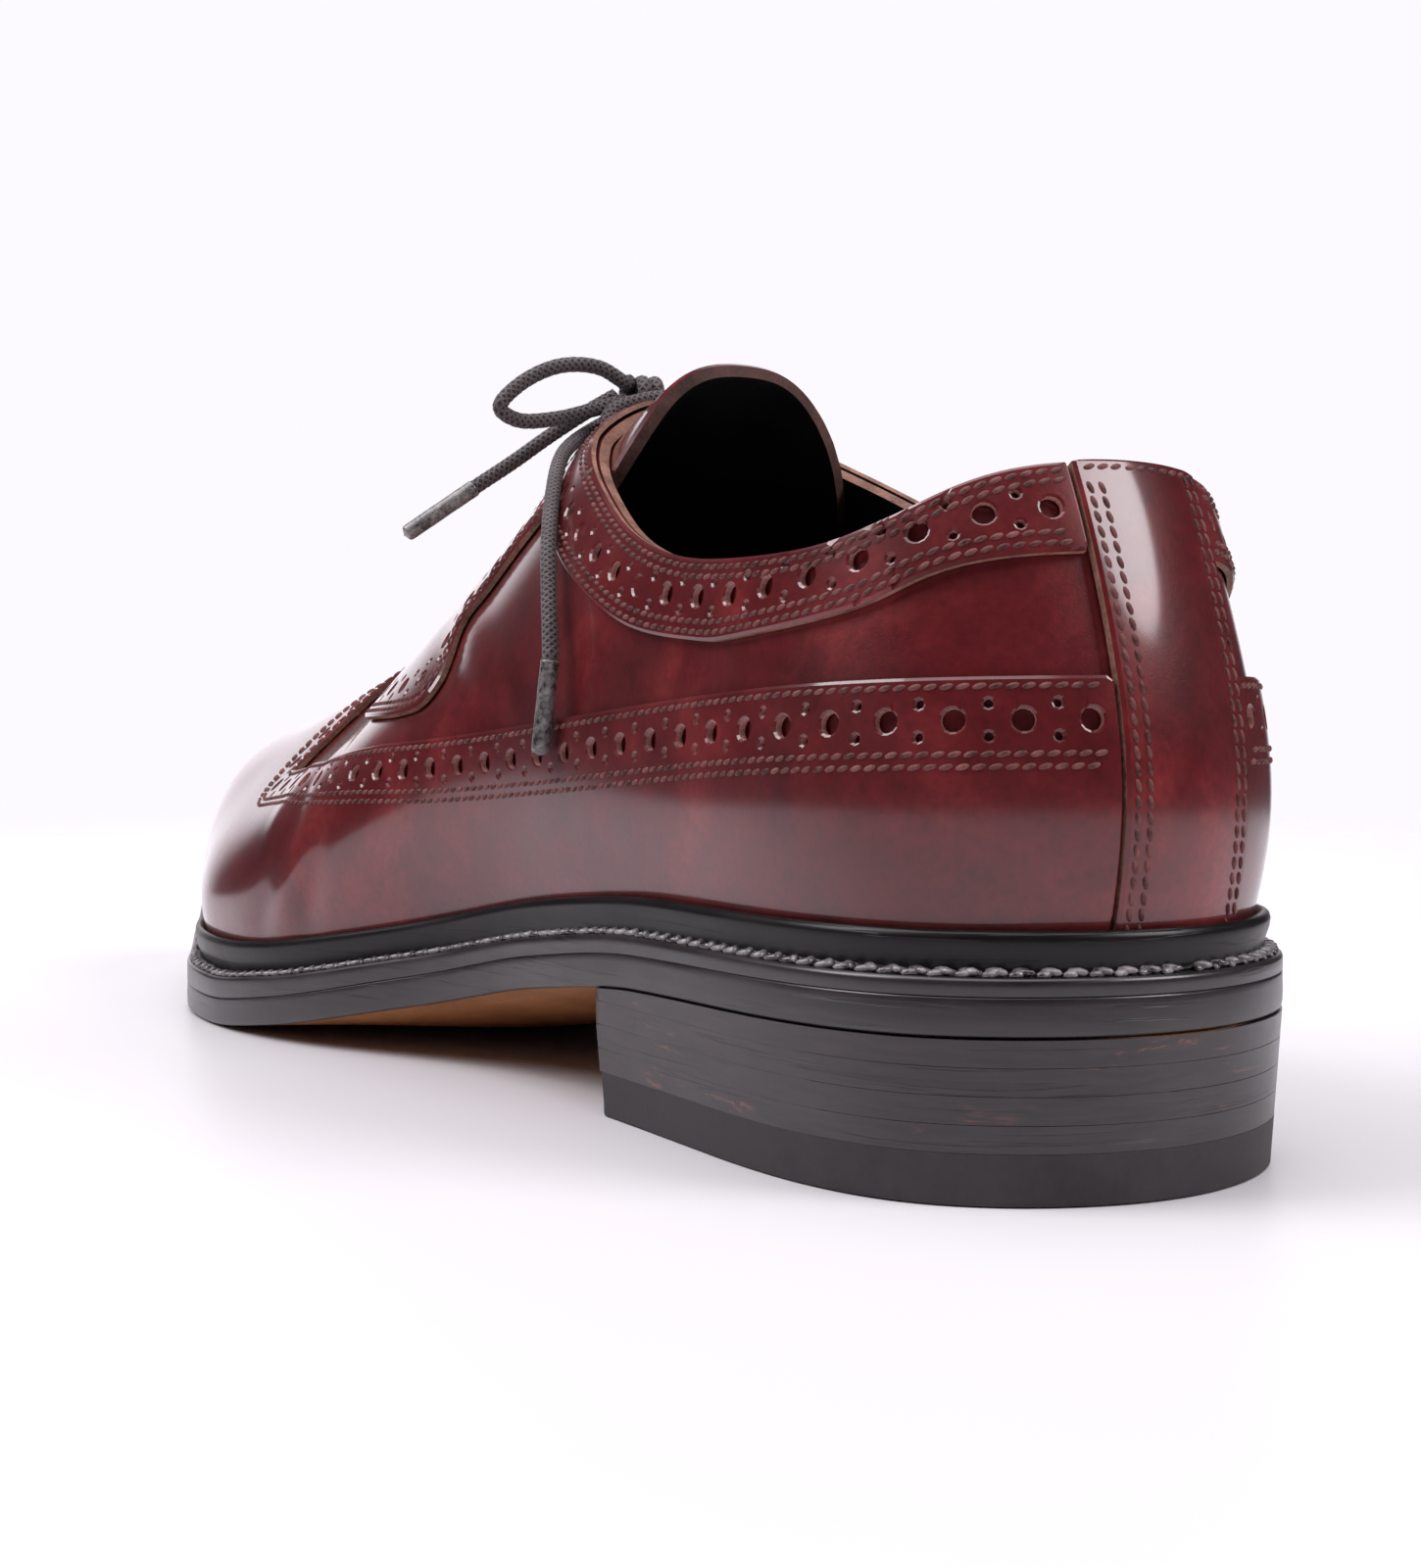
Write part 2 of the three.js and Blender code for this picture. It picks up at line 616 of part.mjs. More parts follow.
function facing(side) {
  const band = sideCurve(BAND_EDGE, 'z', CURVE_STEPS);
  const stay = sideCurve(EYESTAY_EDGE, 'z', CURVE_STEPS);
  const from = side > 0 ? 0 : -FAR;
  const region = above([...band, ...stay], from, from + FAR);
  const end = planPrism([new THREE.Vector2(-FAR, -FAR), new THREE.Vector2(THROAT * LENGTH, -FAR),
    new THREE.Vector2(THROAT * LENGTH, FAR), new THREE.Vector2(-FAR, FAR)], 0, FAR);
  return hood(GAP, GAP + OVERLAY).intersect(region).intersect(end).subtract(OPENING)
    .subtract(strapZone(GAP)).subtract(eyeletCutters(side));
}

function backstrap() {
  return hood(GAP, GAP + STRAP).intersect(strapZone(0)).subtract(OPENING);
}

function tongue() {
  const top = TONGUE_TOP * LENGTH;
  const end = TONGUE_END * LENGTH;
  const plan = planPrism([new THREE.Vector2(top, -TONGUE_WIDTH / 2), new THREE.Vector2(end, -TONGUE_ROOT / 2),
    new THREE.Vector2(end, TONGUE_ROOT / 2), new THREE.Vector2(top, TONGUE_WIDTH / 2)], 0, FAR);
  const under = [new THREE.Vector2(top, TONGUE_UNDER * INSTEP_HEIGHT),
    new THREE.Vector2(end, THROAT_UNDER * INSTEP_HEIGHT)];
  return hood(-WALL - GAP - TONGUE, -WALL - GAP).intersect(plan).intersect(above(under, -FAR, FAR));
}

// Sole
function outsole() {
  return plate(u => rim(u, WELT_MARGIN), underside, x => underside(x) + OUTSOLE);
}

const STRAP_ENDS = 0.8;             // station beside the heel strap
const WING_BEGINS = 1.6;            // station where the lip lies against the wing again

// Outside of the wing, or of the strap at the back, with its clearance.
function lean(u) {
  const away = Math.min(u, AROUND - u);
  return 2 * GAP + mix(STRAP, OVERLAY, smooth((away - STRAP_ENDS) / (WING_BEGINS - STRAP_ENDS)));
}

function weltProfile(u) {
  const z = (p, height) => new THREE.Vector3(p.x, p.y, height);
  const inner = raised(u, 0, -WALL - GAP);
  const outer = rim(u, WELT_MARGIN);
  const root = raised(u, 0, lean(u));
  const rootOut = raised(u, 0, lean(u) + LIP);
  const level = levelAt(u, surface(u, 0).z + LIP_HEIGHT);
  const half = Math.min(TOP / ROWS, level / 2);
  return [
    z(inner, underside(inner.x) + OUTSOLE + GAP),
    z(inner, seat(inner.x)),
    z(root, seat(root.x)),
    raised(u, half, lean(u)),
    raised(u, level, lean(u)),
    raised(u, level, lean(u) + LIP),
    z(rootOut, seat(rootOut.x)),
    z(outer, seat(outer.x)),
    z(outer, underside(outer.x) + OUTSOLE + GAP),
  ];
}

function insole() {
  const bottom = x => underside(x) + OUTSOLE + GAP;
  return plate(u => raised(u, 0, -WALL - 2 * GAP), bottom, x => bottom(x) + weltThickness(x) + INSOLE);
}

const BREAST_STEPS = 8;

function heelRegion() {
  const breast = new THREE.QuadraticBezierCurve(
    new THREE.Vector2(HEEL_LENGTH, -HEEL_WIDTH),
    new THREE.Vector2(HEEL_LENGTH - 2 * BREAST_CURVE, 0),
    new THREE.Vector2(HEEL_LENGTH, HEEL_WIDTH),
  ).getPoints(BREAST_STEPS);
  const outline = [new THREE.Vector2(-FAR, -HEEL_WIDTH), ...breast, new THREE.Vector2(-FAR, HEEL_WIDTH)];
  return planPrism(outline, -FAR, FAR);
}

function heelLayer(from, to) {
  const drawn = HEEL_TAPER * (1 - (from + to(0)) / 2 / HEEL_HEIGHT);
  return plate(u => rim(u, WELT_MARGIN - drawn), () => from, to).intersect(heelRegion());
}

function heelLift(number) {
  const pitch = (HEEL_HEIGHT - TOP_PIECE) / LIFTS;
  const from = TOP_PIECE + GAP + (LIFTS - number) * pitch;
  const isSeat = number === 1;
  return heelLayer(from, isSeat ? x => underside(x) - GAP : () => from + pitch - GAP);
}

// Laces
const TUBE_SIDES = 6;

function tube(points, diameter, steps) {
  const shape = new THREE.Shape();
  for (let i = 0; i <= TUBE_SIDES; i += 1) {
    const angle = 2 * Math.PI * i / TUBE_SIDES;
    const x = diameter / 2 * Math.cos(angle);
    const y = diameter / 2 * Math.sin(angle);
    if (i === 0) shape.moveTo(x, y);
    else shape.lineTo(x, y);
  }
  const path = new THREE.CatmullRomCurve3(points, false, 'centripetal');
  return toSolid(new THREE.ExtrudeGeometry(shape, { steps, extrudePath: path, bevelEnabled: false }));
}

const LACE_LIFT = GAP + OVERLAY + GAP + LACE / 2;   // lace centre above the upper's surface
const CROSSING_STEPS = 44;

function lacePoint(index, share) {
  const x = FIRST_EYELET * LENGTH + index * EYELET_PITCH;
  const y = share * (facingHalfGap(x) + EYELET_INSET);
  const { u, v } = overPlan(x, y);
  return raised(u, v, LACE_LIFT);
}

function laceCrossings() {
  const points = [];
  for (let i = 0; i < EYELETS; i += 1) {
    const side = i % 2 === 0 ? 1 : -1;
    for (const share of [1, 0.5, 0, -0.5, -1]) points.push(lacePoint(i, side * share));
  }
  return tube(points, LACE, CROSSING_STEPS);
}

// The bow: routes of the cord, chosen by hand, measured like the rest from the back of the heel.
const KNOT = { x: 130.5, y: 3.0, z: 112.2, alongX: 3.0, alongY: 4.6, alongZ: 3.4 };
const CORD_ROUTES = {
  lace_loop_lateral: [
    [128.7, 7.6, 113.8], [128.3, 13, 116], [128.8, 20, 115.8], [130, 26.5, 112.6], [130.6, 30, 108.6],
    [131.2, 26.5, 106.8], [130.2, 19.5, 107.4], [129.2, 12.5, 109.4], [128.6, 7.6, 110.9],
  ],
  lace_loop_medial: [
    [128.7, -2, 113.4], [130.2, -9, 112.8], [132.5, -17, 109.2], [134, -25, 103.5], [133.5, -31, 98.5],
    [130.6, -32.5, 97], [128, -28, 100.5], [127.6, -20, 106], [128.6, -11, 110], [131, -2, 110.2],
  ],
  lace_end_hanging: [
    [131, 7.6, 108.7], [131.4, 11.5, 106.6], [128.5, 17.5, 103.4], [122, 23.4, 99.6], [113, 29.5, 92.2],
    [105.8, 33.8, 84.6], [101.4, 36, 77.9], [98.4, 37.4, 72.7], [96.4, 38.3, 67.6],
  ],
  lace_end_side: [
    [132.1, 7.6, 112.2], [134, 12, 109.4], [137, 18, 105.0], [138.8, 23.5, 100.8], [140, 29.5, 96.7],
  ],
};
const AGLETS = {
  aglet_hanging: [[96.3, 38.35, 67.2], [97.7, 39.4, 53.3]],
  aglet_side: [[140.15, 29.9, 96.4], [143.3, 41, 88.4]],
};
const KNOT_SIDES = 12;
const KNOT_RINGS = 8;
const LOOP_STEPS = 22;
const AGLET_SIDES = 10;

function vectors(points) {
  return points.map(point => new THREE.Vector3(...point));
}

function laceKnot() {
  const geometry = new THREE.SphereGeometry(1, KNOT_SIDES, KNOT_RINGS);
  geometry.scale(KNOT.alongX, KNOT.alongY, KNOT.alongZ);
  geometry.translate(KNOT.x, KNOT.y, KNOT.z);
  return toSolid(geometry);
}

function aglet([from, to]) {
  const start = new THREE.Vector3(...from);
  const along = new THREE.Vector3(...to).sub(start).normalize();
  const geometry = new THREE.CylinderGeometry(AGLET / 2, AGLET / 2, AGLET_LENGTH, AGLET_SIDES);
  geometry.applyQuaternion(new THREE.Quaternion().setFromUnitVectors(new THREE.Vector3(0, 1, 0), along));
  const centre = start.addScaledVector(along, GAP + AGLET_LENGTH / 2);
  geometry.translate(centre.x, centre.y, centre.z);
  return toSolid(geometry);
}

const LEATHER = { color: 0x4a1216, roughness: 0.32, metalness: 0 };
const BLACK = { color: 0x141214, roughness: 0.55, metalness: 0 };
const EDGE = { color: 0x2a1c18, roughness: 0.5, metalness: 0 };
const TAN = { color: 0xa9703a, roughness: 0.7, metalness: 0 };
const RUBBER = { color: 0x2b2b2d, roughness: 0.75, metalness: 0 };
const CORD = { color: 0x3a3130, roughness: 0.8, metalness: 0 };
const PLASTIC = { color: 0x55524f, roughness: 0.35, metalness: 0 };

const shoe = new THREE.Group();

function addPiece(name, solid, look) {
  const mesh = new THREE.Mesh(toMeshGeometry(solid), new THREE.MeshStandardMaterial(look));
  mesh.name = name;
  shoe.add(mesh);
}

addPiece('outsole', outsole(), TAN);
addPiece('welt', ring(weltProfile), BLACK);
addPiece('insole', insole(), TAN);
addPiece('top_piece', heelLayer(0, () => TOP_PIECE), RUBBER);
for (let number = 1; number <= LIFTS; number += 1) {
  addPiece(`heel_lift_${number}`, heelLift(number), EDGE);
}
addPiece('upper', upper(), LEATHER);
addPiece('longwing', longwing(), LEATHER);
addPiece('facing_lateral', facing(1), LEATHER);
addPiece('facing_medial', facing(-1), LEATHER);
addPiece('backstrap', backstrap(), LEATHER);
addPiece('tongue', tongue(), LEATHER);
addPiece('lace_crossings', laceCrossings(), CORD);

const box = new THREE.Box3().setFromObject(shoe);
const centre = box.getCenter(new THREE.Vector3());

addPiece('lace_knot', laceKnot(), CORD);
for (const [name, route] of Object.entries(CORD_ROUTES)) {
  addPiece(name, tube(vectors(route), LACE, LOOP_STEPS), CORD);
}
for (const [name, ends] of Object.entries(AGLETS)) {
  addPiece(name, aglet(ends), PLASTIC);
}

// The origin lies on the floor under the middle of the shoe, the bow left aside.
shoe.position.set(-centre.x, -centre.y, -box.min.z);
const group = new THREE.Group();
group.add(shoe);
export default group;
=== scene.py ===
"""Longwing brogue for the left foot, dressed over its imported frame.

Lengths inside the classes are millimetres, laid out as in the part's source: X runs from the back of
the heel to the toe, +Y is the wearer's outer (lateral) side and Z = 0 is the floor. The meshes that
leave the classes are in metres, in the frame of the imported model.
"""

import logging
import math
from collections.abc import Callable, Sequence
from dataclasses import dataclass, field
from enum import Enum

import bmesh
import bpy
import numpy as np
from mathutils import Matrix, Vector
from mathutils.geometry import delaunay_2d_cdt


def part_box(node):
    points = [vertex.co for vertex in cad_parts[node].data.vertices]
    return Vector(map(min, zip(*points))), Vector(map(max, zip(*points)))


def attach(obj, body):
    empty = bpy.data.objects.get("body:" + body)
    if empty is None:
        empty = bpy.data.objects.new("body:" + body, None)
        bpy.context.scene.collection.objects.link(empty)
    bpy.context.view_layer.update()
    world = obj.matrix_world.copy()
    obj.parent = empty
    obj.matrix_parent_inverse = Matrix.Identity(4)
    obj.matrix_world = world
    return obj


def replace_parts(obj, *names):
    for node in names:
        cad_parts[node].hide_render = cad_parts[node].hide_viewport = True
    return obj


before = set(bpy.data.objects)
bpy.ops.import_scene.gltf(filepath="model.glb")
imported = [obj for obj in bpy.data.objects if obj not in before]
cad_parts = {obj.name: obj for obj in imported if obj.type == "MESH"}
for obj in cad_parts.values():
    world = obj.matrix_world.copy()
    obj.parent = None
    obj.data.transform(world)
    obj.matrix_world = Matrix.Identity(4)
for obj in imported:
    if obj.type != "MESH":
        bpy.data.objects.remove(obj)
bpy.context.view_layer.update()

LOG = logging.getLogger("longwing")
Array = np.ndarray
Socket = bpy.types.NodeSocket
Material = bpy.types.Material
Mesh = bpy.types.Mesh
Piece = bpy.types.Object
Colour = tuple[float, float, float]
MM = 0.001
ROOT = "root"

# Rows of the last: x as a share of the length, turn in degrees, half widths of the lateral and the
# medial side at four levels, rise, crown, haunch width and height, and shares of the sole's margin.
SECTIONS = (
    (0.126, 0, (0.420, 0.461, 0.413, 0.293), (0.420, 0.461, 0.413, 0.293), 0.569, 0.914, 0.50, 0.80, 1.00, 1.00),
    (0.126, 28, (0.420, 0.461, 0.416, 0.301), (0.420, 0.461, 0.416, 0.301), 0.569, 0.914, 0.50, 0.80, 1.00, 1.00),
    (0.126, 56, (0.420, 0.464, 0.424, 0.328), (0.420, 0.464, 0.424, 0.328), 0.560, 0.922, 0.50, 0.80, 1.00, 1.00),
    (0.139, 82, (0.420, 0.467, 0.435, 0.360), (0.420, 0.461, 0.429, 0.360), 0.552, 0.945, 0.50, 0.80, 0.95, 0.95),
    (0.192, 90, (0.413, 0.459, 0.438, 0.380), (0.406, 0.446, 0.427, 0.374), 0.526, 0.975, 0.50, 0.80, 0.92, 0.88),
    (0.252, 90, (0.380, 0.429, 0.419, 0.368), (0.356, 0.400, 0.397, 0.362), 0.509, 1.010, 0.50, 0.80, 0.90, 0.82),
    (0.318, 90, (0.339, 0.391, 0.393, 0.344), (0.289, 0.344, 0.367, 0.333), 0.500, 1.022, 0.45, 0.80, 0.90, 0.75),
    (0.391, 90, (0.306, 0.363, 0.365, 0.301), (0.231, 0.301, 0.331, 0.286), 0.517, 0.966, 0.45, 0.75, 0.90, 0.72),
    (0.470, 90, (0.320, 0.376, 0.367, 0.268), (0.254, 0.316, 0.329, 0.244), 0.500, 0.853, 0.45, 0.72, 0.95, 0.85),
    (0.556, 90, (0.402, 0.439, 0.402, 0.266), (0.327, 0.374, 0.355, 0.243), 0.457, 0.724, 0.45, 0.72, 1.05, 1.00),
    (0.642, 90, (0.453, 0.481, 0.430, 0.280), (0.383, 0.421, 0.388, 0.262), 0.388, 0.612, 0.45, 0.76, 1.10, 1.15),
    (0.728, 90, (0.453, 0.479, 0.435, 0.308), (0.402, 0.430, 0.402, 0.294), 0.336, 0.545, 0.45, 0.80, 1.10, 1.25),
    (0.798, 90, (0.402, 0.428, 0.410, 0.315), (0.369, 0.396, 0.382, 0.300), 0.312, 0.503, 0.45, 0.82, 1.10, 1.15),
    (0.831, 112, (0.350, 0.374, 0.366, 0.294), (0.332, 0.355, 0.348, 0.286), 0.296, 0.490, 0.50, 0.84, 1.08, 1.08),
    (0.851, 135, (0.327, 0.348, 0.340, 0.274), (0.322, 0.342, 0.334, 0.270), 0.283, 0.481, 0.50, 0.86, 1.05, 1.05),
    (0.861, 158, (0.322, 0.340, 0.328, 0.258), (0.321, 0.338, 0.326, 0.256), 0.270, 0.474, 0.50, 0.86, 1.05, 1.05),
    (0.864, 180, (0.320, 0.336, 0.322, 0.248), (0.320, 0.336, 0.322, 0.248), 0.262, 0.470, 0.50, 0.86, 1.05, 1.05),
)
# Underside of the outsole: x as a share of the length, shares of the heel height and the toe spring.
UNDERSIDE = (
    (0.00, 1.00, 0), (0.12, 0.99, 0), (0.24, 0.96, 0), (0.36, 0.78, 0), (0.48, 0.44, 0),
    (0.60, 0.11, 0), (0.68, 0, 0), (0.77, 0, 0), (0.90, 0, 0.40), (1.00, 0, 1),
)
# Edges in side view: x as a share of the length, z as a share of the instep height.
TOPLINE_OUT = (
    (-0.10, 0.785), (0.020, 0.785), (0.052, 0.778), (0.087, 0.722), (0.125, 0.694), (0.190, 0.690),
    (0.235, 0.703), (0.280, 0.739), (0.325, 0.800), (0.370, 0.868), (0.400, 0.925), (0.415, 1.100),
)
TOPLINE_INN = (
    (-0.10, 0.785), (0.020, 0.785), (0.052, 0.779), (0.087, 0.740), (0.125, 0.722), (0.190, 0.720),
    (0.235, 0.733), (0.280, 0.765), (0.325, 0.815), (0.370, 0.872), (0.400, 0.925), (0.415, 1.100),
)
WING_EDGE = (
    (-0.10, 0.556), (0.060, 0.550), (0.193, 0.531), (0.328, 0.499), (0.437, 0.471), (0.515, 0.452),
    (0.570, 0.432), (0.640, 0.408), (0.720, 0.385),
)
BAND_EDGE = (
    (-0.10, 0.690), (0.036, 0.683), (0.096, 0.624), (0.167, 0.598), (0.205, 0.597), (0.263, 0.618),
    (0.325, 0.681), (0.372, 0.745), (0.398, 0.778),
)
EYESTAY_EDGE = (
    (0.404, 0.778), (0.440, 0.718), (0.466, 0.650), (0.472, 0.590), (0.468, 0.545), (0.478, 0.512),
    (0.510, 0.497), (0.550, 0.492), (0.600, 0.488),
)
# The wing's front line over the vamp, seen from above: y as a share of the ball's width.
WING_PEAK = (
    (0.630, 0.480), (0.664, 0.405), (0.683, 0.345), (0.690, 0.295), (0.678, 0.225), (0.648, 0.130),
    (0.618, 0.040), (0.610, -0.010), (0.617, -0.060), (0.645, -0.140), (0.671, -0.220),
    (0.681, -0.275), (0.676, -0.320), (0.658, -0.375), (0.625, -0.440),
)

LATERAL, MEDIAL = 1, -1
LAST_STATION = len(SECTIONS) - 1
AROUND = 2 * LAST_STATION
TOP = 5
FEATHER = 1e-6
AT_ONCE = 2048


def smooth(t: Array) -> Array:
    """Ease from 0 to 1 with level ends."""
    s = np.clip(t, 0.0, 1.0)
    return s * s * (3.0 - 2.0 * s)


def mix(a: Array, b: Array, t: Array) -> Array:
    """Value between a and b at the share t."""
    return a + (b - a) * t


def unit(vectors: Array) -> Array:
    """Vectors brought to length one along their last axis."""
    return vectors / np.maximum(np.linalg.norm(vectors, axis=-1, keepdims=True), 1e-12)


def monotone(xs: Sequence[float], ys: Sequence[float], x: Array) -> Array:
    """Smooth curve without overshoot through the rows of a table.

    Args:
        xs: Rising abscissas of the rows.
        ys: Ordinates of the rows.
        x: Where the curve is read.

    Returns:
        The ordinates at x.
    """
    knots, values = np.asarray(xs, float), np.asarray(ys, float)
    slopes = np.diff(values) / np.diff(knots)
    before, after = slopes[:-1], slopes[1:]
    tangent = np.zeros_like(values)
    same = before * after > 0
    tangent[1:-1][same] = 2 * before[same] * after[same] / (before[same] + after[same])
    at = np.clip(x, knots[0], knots[-1])
    i = np.searchsorted(knots[1:-1], at, side="left")
    h = knots[i + 1] - knots[i]
    t = (at - knots[i]) / h
    return (
        (1 + 2 * t) * (1 - t) ** 2 * values[i]
        + t * (1 - t) ** 2 * h * tangent[i]
        + t * t * (3 - 2 * t) * values[i + 1]
        + t * t * (t - 1) * h * tangent[i + 1]
    )


def catmull_rom(points: Array, pitch: float, power: float = 0.5) -> Array:
    """Curve through points, read at even steps.

    Args:
        points: Points to pass, one per row.
        pitch: Length of a step along the curve.
        power: Exponent of the chord lengths, 0 for even knots and 0.5 for a centripetal curve.

    Returns:
        The points of the curve.
    """
    p = np.asarray(points, float)
    p = np.vstack([2 * p[0] - p[1], p, 2 * p[-1] - p[-2]])
    dense = []
    for a, b, c, d in zip(p, p[1:], p[2:], p[3:]):
        t1 = np.linalg.norm(b - a) ** power
        t2 = t1 + np.linalg.norm(c - b) ** power
        t3 = t2 + np.linalg.norm(d - c) ** power
        t = np.linspace(t1, t2, 40, endpoint=False)[:, None]
        ab = (t1 - t) / t1 * a + t / t1 * b
        bc = (t2 - t) / (t2 - t1) * b + (t - t1) / (t2 - t1) * c
        cd = (t3 - t) / (t3 - t2) * c + (t - t2) / (t3 - t2) * d
        abc = (t2 - t) / t2 * ab + t / t2 * bc
        bcd = (t3 - t) / (t3 - t1) * bc + (t - t1) / (t3 - t1) * cd
        dense.append((t2 - t) / (t2 - t1) * abc + (t - t1) / (t2 - t1) * bcd)
    return resample(np.vstack([*dense, p[-2:-1]]), pitch)


def arc_lengths(line: Array) -> Array:
    """Distance of each point from the first, along the line."""
    return np.concatenate([[0.0], np.cumsum(np.linalg.norm(np.diff(line, axis=0), axis=1))])


def along_line(at: Array | float, along: Array, line: Array) -> Array:
    """Rows of a line read at distances from its start."""
    return np.stack([np.interp(at, along, column) for column in line.T], axis=-1)


def resample(line: Array, pitch: float) -> Array:
    """The same line with points at even steps, its two ends kept."""
    along = arc_lengths(line)
    count = max(2, int(round(along[-1] / pitch)) + 1)
    return along_line(np.linspace(0.0, along[-1], count), along, line)


def parts_of(count: int) -> list[slice]:
    """Slices that take a long array a part at a time."""
    return [slice(low, low + AT_ONCE) for low in range(0, count, AT_ONCE)]


def distances(points: Array, others: Array) -> Array:
    """Distance from each point to the nearest of the others."""
    result = np.empty(len(points))
    for part in parts_of(len(points)):
        square = (points[part] ** 2).sum(1)[:, None] + (others**2).sum(1)[None] - 2 * (points[part] @ others.T)
        result[part] = np.sqrt(np.maximum(square.min(axis=1), 0))
    return result


def odd_crossings(points: Array, start: Array, end: Array) -> Array:
    """Whether plane points lie inside an odd number of the loops whose edges run from start to end."""
    run = np.where(end[:, 1] == start[:, 1], 1.0, end[:, 1] - start[:, 1])
    result = np.zeros(len(points), bool)
    for part in parts_of(len(points)):
        p = points[part, None, :]
        rises = (start[:, 1] > p[..., 1]) != (end[:, 1] > p[..., 1])
        cross = start[:, 0] + (p[..., 1] - start[:, 1]) / run * (end[:, 0] - start[:, 0])
        result[part] = (rises & (p[..., 0] < cross)).sum(axis=1) % 2 == 1
    return result


def side_of_line(points: Array, line: Array, far: Sequence[float]) -> Array:
    """Signed distance of plane points from an open line.

    Args:
        points: Plane points, one per row.
        line: Points of the line.
        far: Corners that close the line round its positive side.

    Returns:
        Distances, positive inside the closed outline.
    """
    a, ab = line[:-1], np.diff(line, axis=0)
    ring = np.vstack([line, np.asarray(far, float)])
    gap = np.empty(len(points))
    for part in parts_of(len(points)):
        p = points[part, None, :]
        t = np.clip(((p - a) * ab).sum(-1) / (ab * ab).sum(-1), 0, 1)
        gap[part] = np.linalg.norm(p - a - t[..., None] * ab, axis=-1).min(axis=1)
    return np.where(odd_crossings(points, ring, np.roll(ring, -1, axis=0)), gap, -gap)


def inside_loops(points: Array, loops: Sequence[Array]) -> Array:
    """Whether plane points lie inside an odd number of closed loops."""
    end = np.vstack([np.roll(loop, -1, axis=0) for loop in loops])
    return odd_crossings(points, np.vstack(loops), end)


def take_mesh(bm: bmesh.types.BMesh, name: str) -> Mesh:
    """Mesh of the shape under work, which is let go."""
    mesh = bpy.data.meshes.new(name)
    bm.to_mesh(mesh)
    bm.free()
    return mesh


@dataclass(frozen=True)
class Crease:
    """Soft fold of the leather, laid across the side of the last.

    Args:
        x: Middle of the fold from the back of the heel.
        z: Its height.
        lean: Angle of its run from the X axis, in degrees.
        length: Half length of the fold.
        width: Half width of the fold.
        height: How far it stands out, or lies in where negative.
        side: Side of the shoe.
    """

    x: float
    z: float
    lean: float
    length: float
    width: float
    height: float
    side: int = LATERAL

    def at(self, points: Array) -> Array:
        """How far the fold lifts the surface at the points."""
        turn = math.radians(self.lean)
        dx, dz = points[..., 0] - self.x, points[..., 2] - self.z
        along = dx * math.cos(turn) + dz * math.sin(turn)
        across = dz * math.cos(turn) - dx * math.sin(turn)
        shape = np.exp(-((along / self.length) ** 2) - (across / self.width) ** 2)
        return self.height * shape * smooth((self.side * points[..., 1] - 2.0) / 8.0)


CREASES = (
    Crease(176, 27, -62, 15, 3.4, 0.55),
    Crease(170, 25, -66, 13, 3.0, -0.45),
    Crease(184, 25, -58, 11, 3.2, -0.30),
    Crease(141, 66, 22, 17, 3.6, -0.75),
    Crease(137, 72, 24, 15, 3.4, 0.45),
    Crease(178, 44, 75, 9, 3.0, -0.35),
    Crease(187, 43, 80, 9, 3.2, 0.30),
    Crease(150, 33, -10, 22, 5.0, -0.30),
    Crease(176, 26, -62, 15, 3.6, 0.45, MEDIAL),
    Crease(168, 27, -66, 13, 3.2, -0.45, MEDIAL),
    Crease(140, 66, 22, 15, 3.6, -0.60, MEDIAL),
    Crease(183, 43, 78, 10, 3.2, -0.35, MEDIAL),
)


